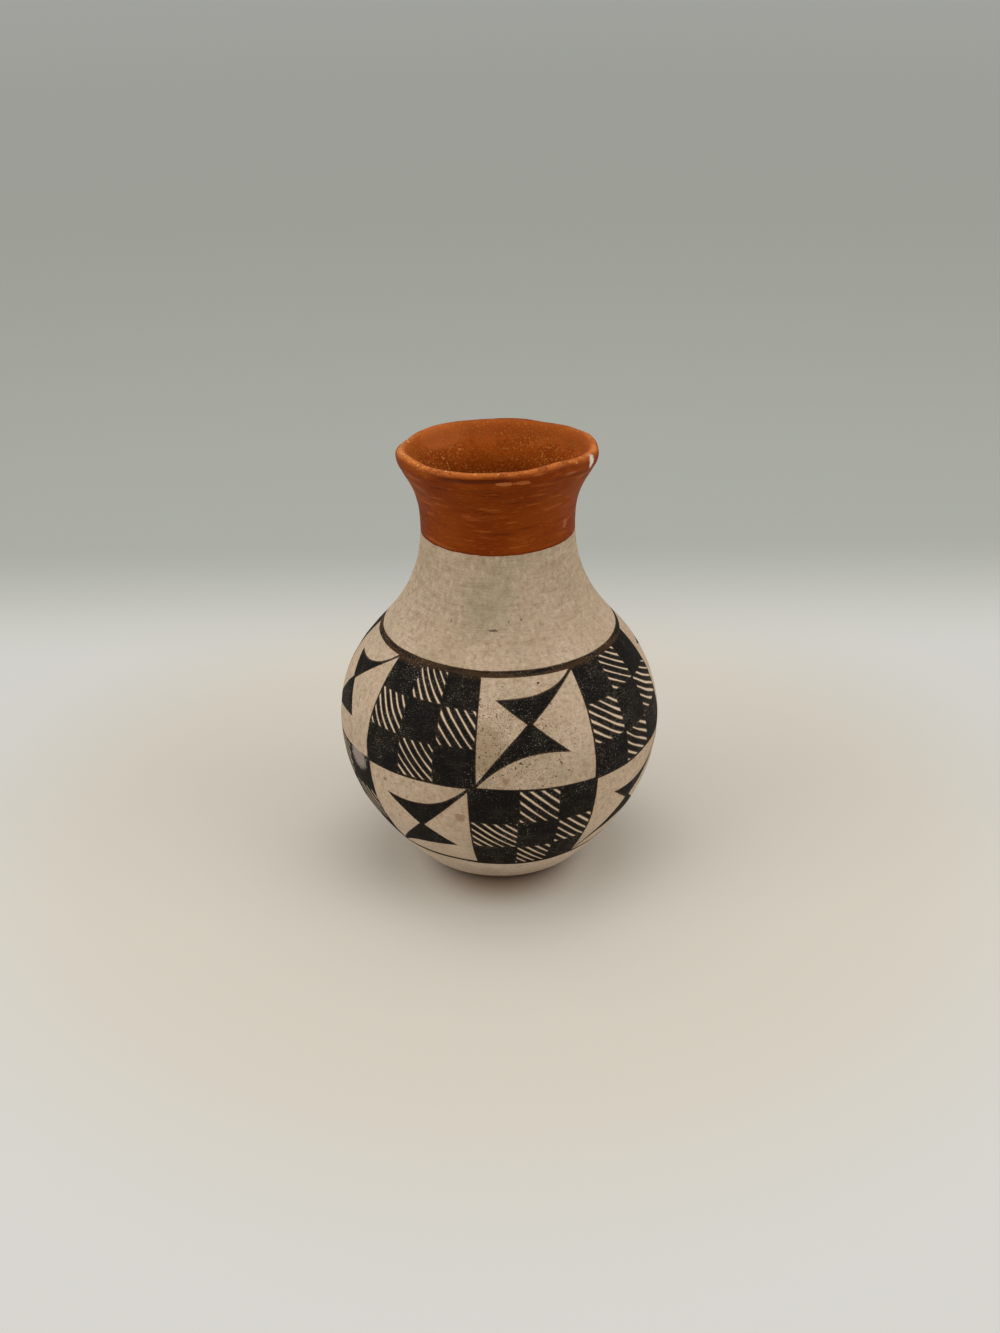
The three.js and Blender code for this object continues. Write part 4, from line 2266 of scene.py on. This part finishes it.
    def grainy(self, g: Graph, point: Point) -> tuple[Num, Num]:
        """Mixes the sandy inside, bare clay deep down.

        Args:
            g: The material's graph.
            point: The point.

        Returns:
            Its colour, and how far its sand stands out.
        """
        grain = point.grain
        mottled = g.ramp(grain[Texture.MOTTLE], self.sand_mottled)
        tint = g.mix(mottled, colour(self.sand), colour(self.bright_sand))
        tint = g.mix(g.ramp(grain[Texture.BLOTCH], self.sand_blotch), tint, colour(self.dark_sand))
        bright = g.ramp(grain[Texture.GRAIN], self.sand_bright)
        dark = g.ramp(grain[Texture.GRAIN], self.sand_dark)
        rubbed = g.ramp(grain[Texture.MOTTLE], self.sand_rubbed)
        tint = g.mix(bright * (self.bright_most - rubbed), tint, colour(self.gold))
        tint = g.mix(dark * (self.dark_most - rubbed), tint, colour(self.dark_sand))
        tint = g.mix(grain[Texture.FLECKS] * self.gold_flecks, tint, colour(self.gold))
        _, _, height = g.split(point.position)
        return g.mix(g.ramp(height, self.bare_below), tint, colour(self.bare)), bright


# The studio


@dataclass(frozen=True)
class Lamp:
    """A soft box.

    Attributes:
        name: Its name.
        place: Where it stands, in metres.
        width: Its side, in metres.
        power: Its power in watts.
    """

    name: str
    place: Triple
    width: float
    power: float

    def build(self, target: Vector) -> None:
        """Makes the lamp and turns it to its target.

        Args:
            target: The point that it faces.
        """
        light = bpy.data.lights.new(self.name, "AREA")
        light.shape = "SQUARE"
        light.size = self.width
        light.energy = self.power
        lamp = bpy.data.objects.new(self.name, light)
        lamp.location = self.place
        lamp.rotation_mode = "QUATERNION"
        lamp.rotation_quaternion = (target - lamp.location).to_track_quat("-Z", "Y")
        bpy.context.scene.collection.objects.link(lamp)


@dataclass(frozen=True)
class Studio:
    """The floor, the light and the camera."""

    lamps: tuple[Lamp, ...] = (
        Lamp("left_box", (-0.8, -0.35, 0.5), 0.8, 3.2),
        Lamp("right_box", (0.8, -0.35, 0.5), 0.8, 3.1),
        Lamp("top_box", (0, 0.1, 1.1), 0.8, 3.8),
    )
    lamp_target: Triple = (0, 0, 0.06)
    tent: Triple = (0.70, 0.70, 0.69)
    room: Triple = (0.60, 0.60, 0.60)
    room_side: Ramp = Ramp(-0.2, -0.9)
    backdrop: Triple = (0.37, 0.38, 0.35)
    floor_radius: float = 6
    # painted contact shadow round the pot's foot, with its middle and its spread below
    floor_contact_shadow: str = "86715f"
    floor_warm: str = "c6bfb2"
    floor_front: str = "c6c4bf"
    floor_behind: str = "a1a39b"
    floor_far: str = "bcbdb8"
    contact_shadow_middle: Triple = (0, -0.018, 0)
    contact_shadow_round: Ramp = Ramp(0.007, 0.027)
    warm_round: Ramp = Ramp(0.12, 0.22)
    turn_behind: Ramp = Ramp(0.13, 0.26)
    fade_far: Ramp = Ramp(0.5, 2.2)
    paper_noise: Noise = Noise(30)
    paper_mottle: float = 0.04
    paper_rough: float = 0.9
    paper_gloss: float = 0.1
    floor_rings: int = 24
    floor_columns: int = 96
    ring_growth: int = 3
    camera_place: Triple = (0, -0.564, 0.3404)
    camera_pitch: float = 26.21
    camera_yaw: float = 0.037
    camera_roll: float = -0.879
    focal_pixels: float = 2000
    sensor: float = 36

    def floor(self) -> None:
        """Makes the floor, a wide disc of rings that widen outwards."""
        points = [(0.0, 0.0, 0.0)]
        faces = []
        columns = self.floor_columns
        for ring in range(1, self.floor_rings + 1):
            radius = self.floor_radius * (ring / self.floor_rings) ** self.ring_growth
            for column in range(columns):
                angle = math.tau * column / columns
                points.append((radius * math.cos(angle), radius * math.sin(angle), 0.0))
        for column in range(columns):
            following = (column + 1) % columns
            faces.append((0, 1 + column, 1 + following))
            for ring in range(self.floor_rings - 1):
                low = 1 + ring * columns
                high = low + columns
                faces.append((low + column, high + column, high + following, low + following))
        mesh = bpy.data.meshes.new("floor")
        mesh.from_pydata(points, [], faces)
        mesh.materials.append(self.floor_paper())
        floor = bpy.data.objects.new("floor", mesh)
        bpy.context.scene.collection.objects.link(floor)

    def floor_paper(self) -> bpy.types.Material:
        """Makes the floor's material, with a painted contact shadow round the foot, pale further
        out and greyer far away.

        Returns:
            The material.
        """
        material = bpy.data.materials.new("floor_paper")
        material.use_nodes = True
        g = Graph(material.node_tree)
        position = Num(g, g.add("ShaderNodeTexCoord").outputs["Object"])
        away = g.vector("LENGTH", position)
        _, behind, _ = g.split(position)
        # painted contact shadow: the floor is coloured darker close round the foot, centred a
        # little in front of it
        close = g.ramp(g.vector("DISTANCE", position, self.contact_shadow_middle), self.contact_shadow_round)
        tint = g.mix(close, colour(self.floor_contact_shadow), colour(self.floor_warm))
        tint = g.mix(g.ramp(away, self.warm_round), tint, colour(self.floor_front))
        tint = g.mix(g.ramp(behind, self.turn_behind), tint, colour(self.floor_behind))
        tint = g.mix(g.ramp(away, self.fade_far), tint, colour(self.floor_far))
        mottle = g.noise(position, self.paper_noise) * self.paper_mottle
        tint = g.mix(mottle, tint, colour(self.floor_far))
        shader = next(n for n in g.tree.nodes if n.type == "BSDF_PRINCIPLED")
        g.feed(shader.inputs["Base Color"], tint)
        shader.inputs["Roughness"].default_value = self.paper_rough
        shader.inputs["Specular IOR Level"].default_value = self.paper_gloss
        return material

    def camera(self) -> None:
        """Makes the camera as the photograph was taken."""
        pitch, yaw, roll = (
            math.radians(a) for a in (self.camera_pitch, self.camera_yaw, self.camera_roll)
        )
        level_share = math.cos(pitch)
        ahead = Vector(
            (math.sin(yaw) * level_share, math.cos(yaw) * level_share, -math.sin(pitch))
        )
        level = Vector((math.cos(yaw), -math.sin(yaw), 0))
        above = level.cross(ahead)
        right = level * math.cos(roll) + above * math.sin(roll)
        up = above * math.cos(roll) - level * math.sin(roll)
        data = bpy.data.cameras.new("camera")
        data.sensor_width = self.sensor
        data.lens = self.focal_pixels / PHOTO_LONG_SIDE * self.sensor
        camera = bpy.data.objects.new("camera", data)
        turn = Matrix((right, up, -ahead)).transposed().to_4x4()
        camera.matrix_world = Matrix.Translation(self.camera_place) @ turn
        bpy.context.scene.collection.objects.link(camera)
        bpy.context.scene.camera = camera

    def tent_light(self) -> bpy.types.World:
        """Makes the world: a pale tent, darker on the side that it was photographed from.

        Returns:
            The world.
        """
        world = bpy.data.worlds.new("studio")
        world.use_nodes = True
        g = Graph(world.node_tree)
        _, towards, _ = g.split(Num(g, g.add("ShaderNodeTexCoord").outputs["Generated"]))
        light = g.mix(g.ramp(towards, self.room_side), (*self.tent, 1), (*self.room, 1))
        path = g.add("ShaderNodeLightPath")
        rays = ("Is Camera Ray", "Is Glossy Ray", "Is Transmission Ray")
        seen = g.most(*(Num(g, path.outputs[ray]) for ray in rays))
        background = world.node_tree.nodes["Background"]
        tint = g.mix(seen, light, (*self.backdrop, 1))
        g.feed(background.inputs["Color"], tint)
        return world

    def build(self) -> None:
        """Makes the whole studio."""
        scene = bpy.context.scene
        scene.view_settings.view_transform = "Standard"
        scene.world = self.tent_light()
        self.floor()
        self.camera()
        for lamp in self.lamps:
            lamp.build(Vector(self.lamp_target))


@dataclass(frozen=True)
class Looks:
    """Every finish of the pot, with what the photograph shows of its painting and its wear, and a
    patch of painted light on its lip.
    """

    wall: Wall
    slip_line: float

    def plan(self) -> PanelPlan:
        """Plans the band.

        Returns:
            The plan.
        """
        wall = self.wall
        return PanelPlan(
            top=PaintedLine(
                place=wall.at_height(78.29),
                width=2.1,
                waves=(Wave(1, 0.27, -93), Wave(2, 0.23, -51)),
            ),
            middle=PaintedLine(
                place=wall.at_height(46.53),
                width=0.85,
                waves=(Wave(1, 0.3, -119), Wave(2, 0.48, -62), Wave(3, 0.54, -17)),
            ),
            low=PaintedLine(
                place=wall.at_height(13.25),
                width=1.6,
                waves=(Wave(1, 0.14, 99), Wave(2, 0.15, -78), Wave(3, 0.93, -40)),
            ),
            upper_sides=(-96.5, -53.4, -8.6, 34.9, 84, 129, 173, 217, 263.5),
            lower_sides=(-98, -52.7, -11.3, 35.5, 80, 126, 170, 215, 262),
        )

    def painted(self) -> PaintedSlip:
        """Describes the painted slip.

        Returns:
            The finish.
        """
        figures = (
            Figure(12, (0.157, 0.782, -0.04), (0.78, 0.30, 0.14), (0.455, 0.571, 0.25)),
            Figure(10, (0.26, 0.762, 0.03), (0.715, 0.278, -0.1), (0.478, 0.546, 0.1)),
            Figure(14, (0.16, 0.69, 0.05), (0.78, 0.28, 0.08), (0.48, 0.52, 0.1)),
            Figure(1, (0.2, 0.772, 0.12), (0.839, 0.296, -0.2), (0.522, 0.503, 0.0)),
            Figure(3, (0.218, 0.753, 0.05), (0.80, 0.30, 0.16), (0.467, 0.56, 0.05)),
        )
        boards = (
            Board(11, (0.343, 0.667, 52), (0.35, 0.69, 0)),
            Board(13, (0.318, 0.618, 37), (0.292, 0.643, 0)),
            Board(2, (0.374, 0.694, 43), (0.328, 0.656, 0)),
        )
        marks = (
            Mark(-7, 97, 25.6, (9, 7), "868062", 0.3),
            Mark(-3, 88.9, 29.4, (1.6, 0.38), "4d392b", 0.8),
            Mark(14, 91.5, 28.1, (0.35, 0.5), "4a3a2c", 0.8),
            Mark(13.8, 49.5, 50.2, (1.1, 0.9), "7d6850", 0.5),
            Mark(9, 53.9, 49.9, (0.5, 0.4), "5a4532", 0.7),
            Mark(21.4, 53.5, 49.9, (0.5, 0.35), "4c3a2a", 0.75),
            Mark(23.9, 50.8, 50.1, (0.35, 0.4), "4c3a2a", 0.75),
            Mark(23.4, 66.7, 45.8, (0.35, 0.3), "4c3a2a", 0.8),
            Mark(-6, 60, 48.8, (7, 9), "75603a", 0.36),
            Mark(-29.4, 90.7, 28.5, (0.5, 0.9), "5a4836", 0.7),
            Mark(6.5, 91.2, 28.2, (0.4, 0.5), "5a4836", 0.7),
            Mark(17.1, 75.5, 39.0, (0.45, 0.4), "2a221c", 0.95),
            Mark(-14.7, 35.6, 48.5, (1.7, 1.9), "8a664c", 0.6),
            Mark(1.8, 49.6, 50.3, (1.3, 1.1), "7d5f45", 0.5),
            Mark(-44.4, 43, 50, (0.8, 0.8), "7d5f45", 0.75),
        )
        worn = (Mark(-60.5, 45.0, 50.2, (4.9, 4.2), "b3a497", 0.55),)
        return PaintedSlip(
            "painted_slip", self.plan(), figures, boards, marks, worn, self.slip_line
        )

    def orange(self) -> OrangeSlip:
        """Describes the orange slip.

        Returns:
            The finish.
        """
        marks = (
            Mark(67, 135.2, 30.1, (2.2, 1.9), "d2c6b8", 0.95),
            Mark(46, 135.0, 30.3, (2.2, 0.5), "a8714a", 0.35),
            Mark(4.8, 135.2, 30.3, (2.8, 0.6), "ad6736", 0.6),
            Mark(14.6, 135.3, 30.2, (2.6, 0.6), "a8602f", 0.6),
            Mark(57.7, 116.2, 24.0, (1.2, 1.6), "a4673f", 0.5),
            Mark(-20.6, 123, 25.2, (1.8, 0.8), "94491c", 0.5),
            # painted light: a lighter patch at the back of the lip and inside it, where the light
            # falls
            Mark(-139, 132.5, 27.5, (10, 4), "b5622c", 0.5),
        )
        lip, crown = self.wall.lip_at, self.wall.CROWN_PAST_LIP
        return OrangeSlip(
            "orange_slip_finish", self.slip_line, lip + crown, lip + crown / 2, marks
        )

    def finishes(self) -> dict[Slot, bpy.types.Material]:
        """Makes the finishes, by slot."""
        return {Slot.CREAM: self.painted().build(), Slot.ORANGE: self.orange().build()}


def main() -> None:
    """Builds the pot, dresses it and sets up the studio."""
    logging.basicConfig(level=logging.INFO, format="%(message)s")
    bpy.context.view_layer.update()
    wall = Wall(WallSizes())
    pot = Pot(wall, Hand())
    looks = Looks(wall, pot.slip_line())
    pot.dress(pot.build(), looks.finishes())
    Studio().build()
    bpy.context.view_layer.update()


if __name__ == "__main__":
    main()
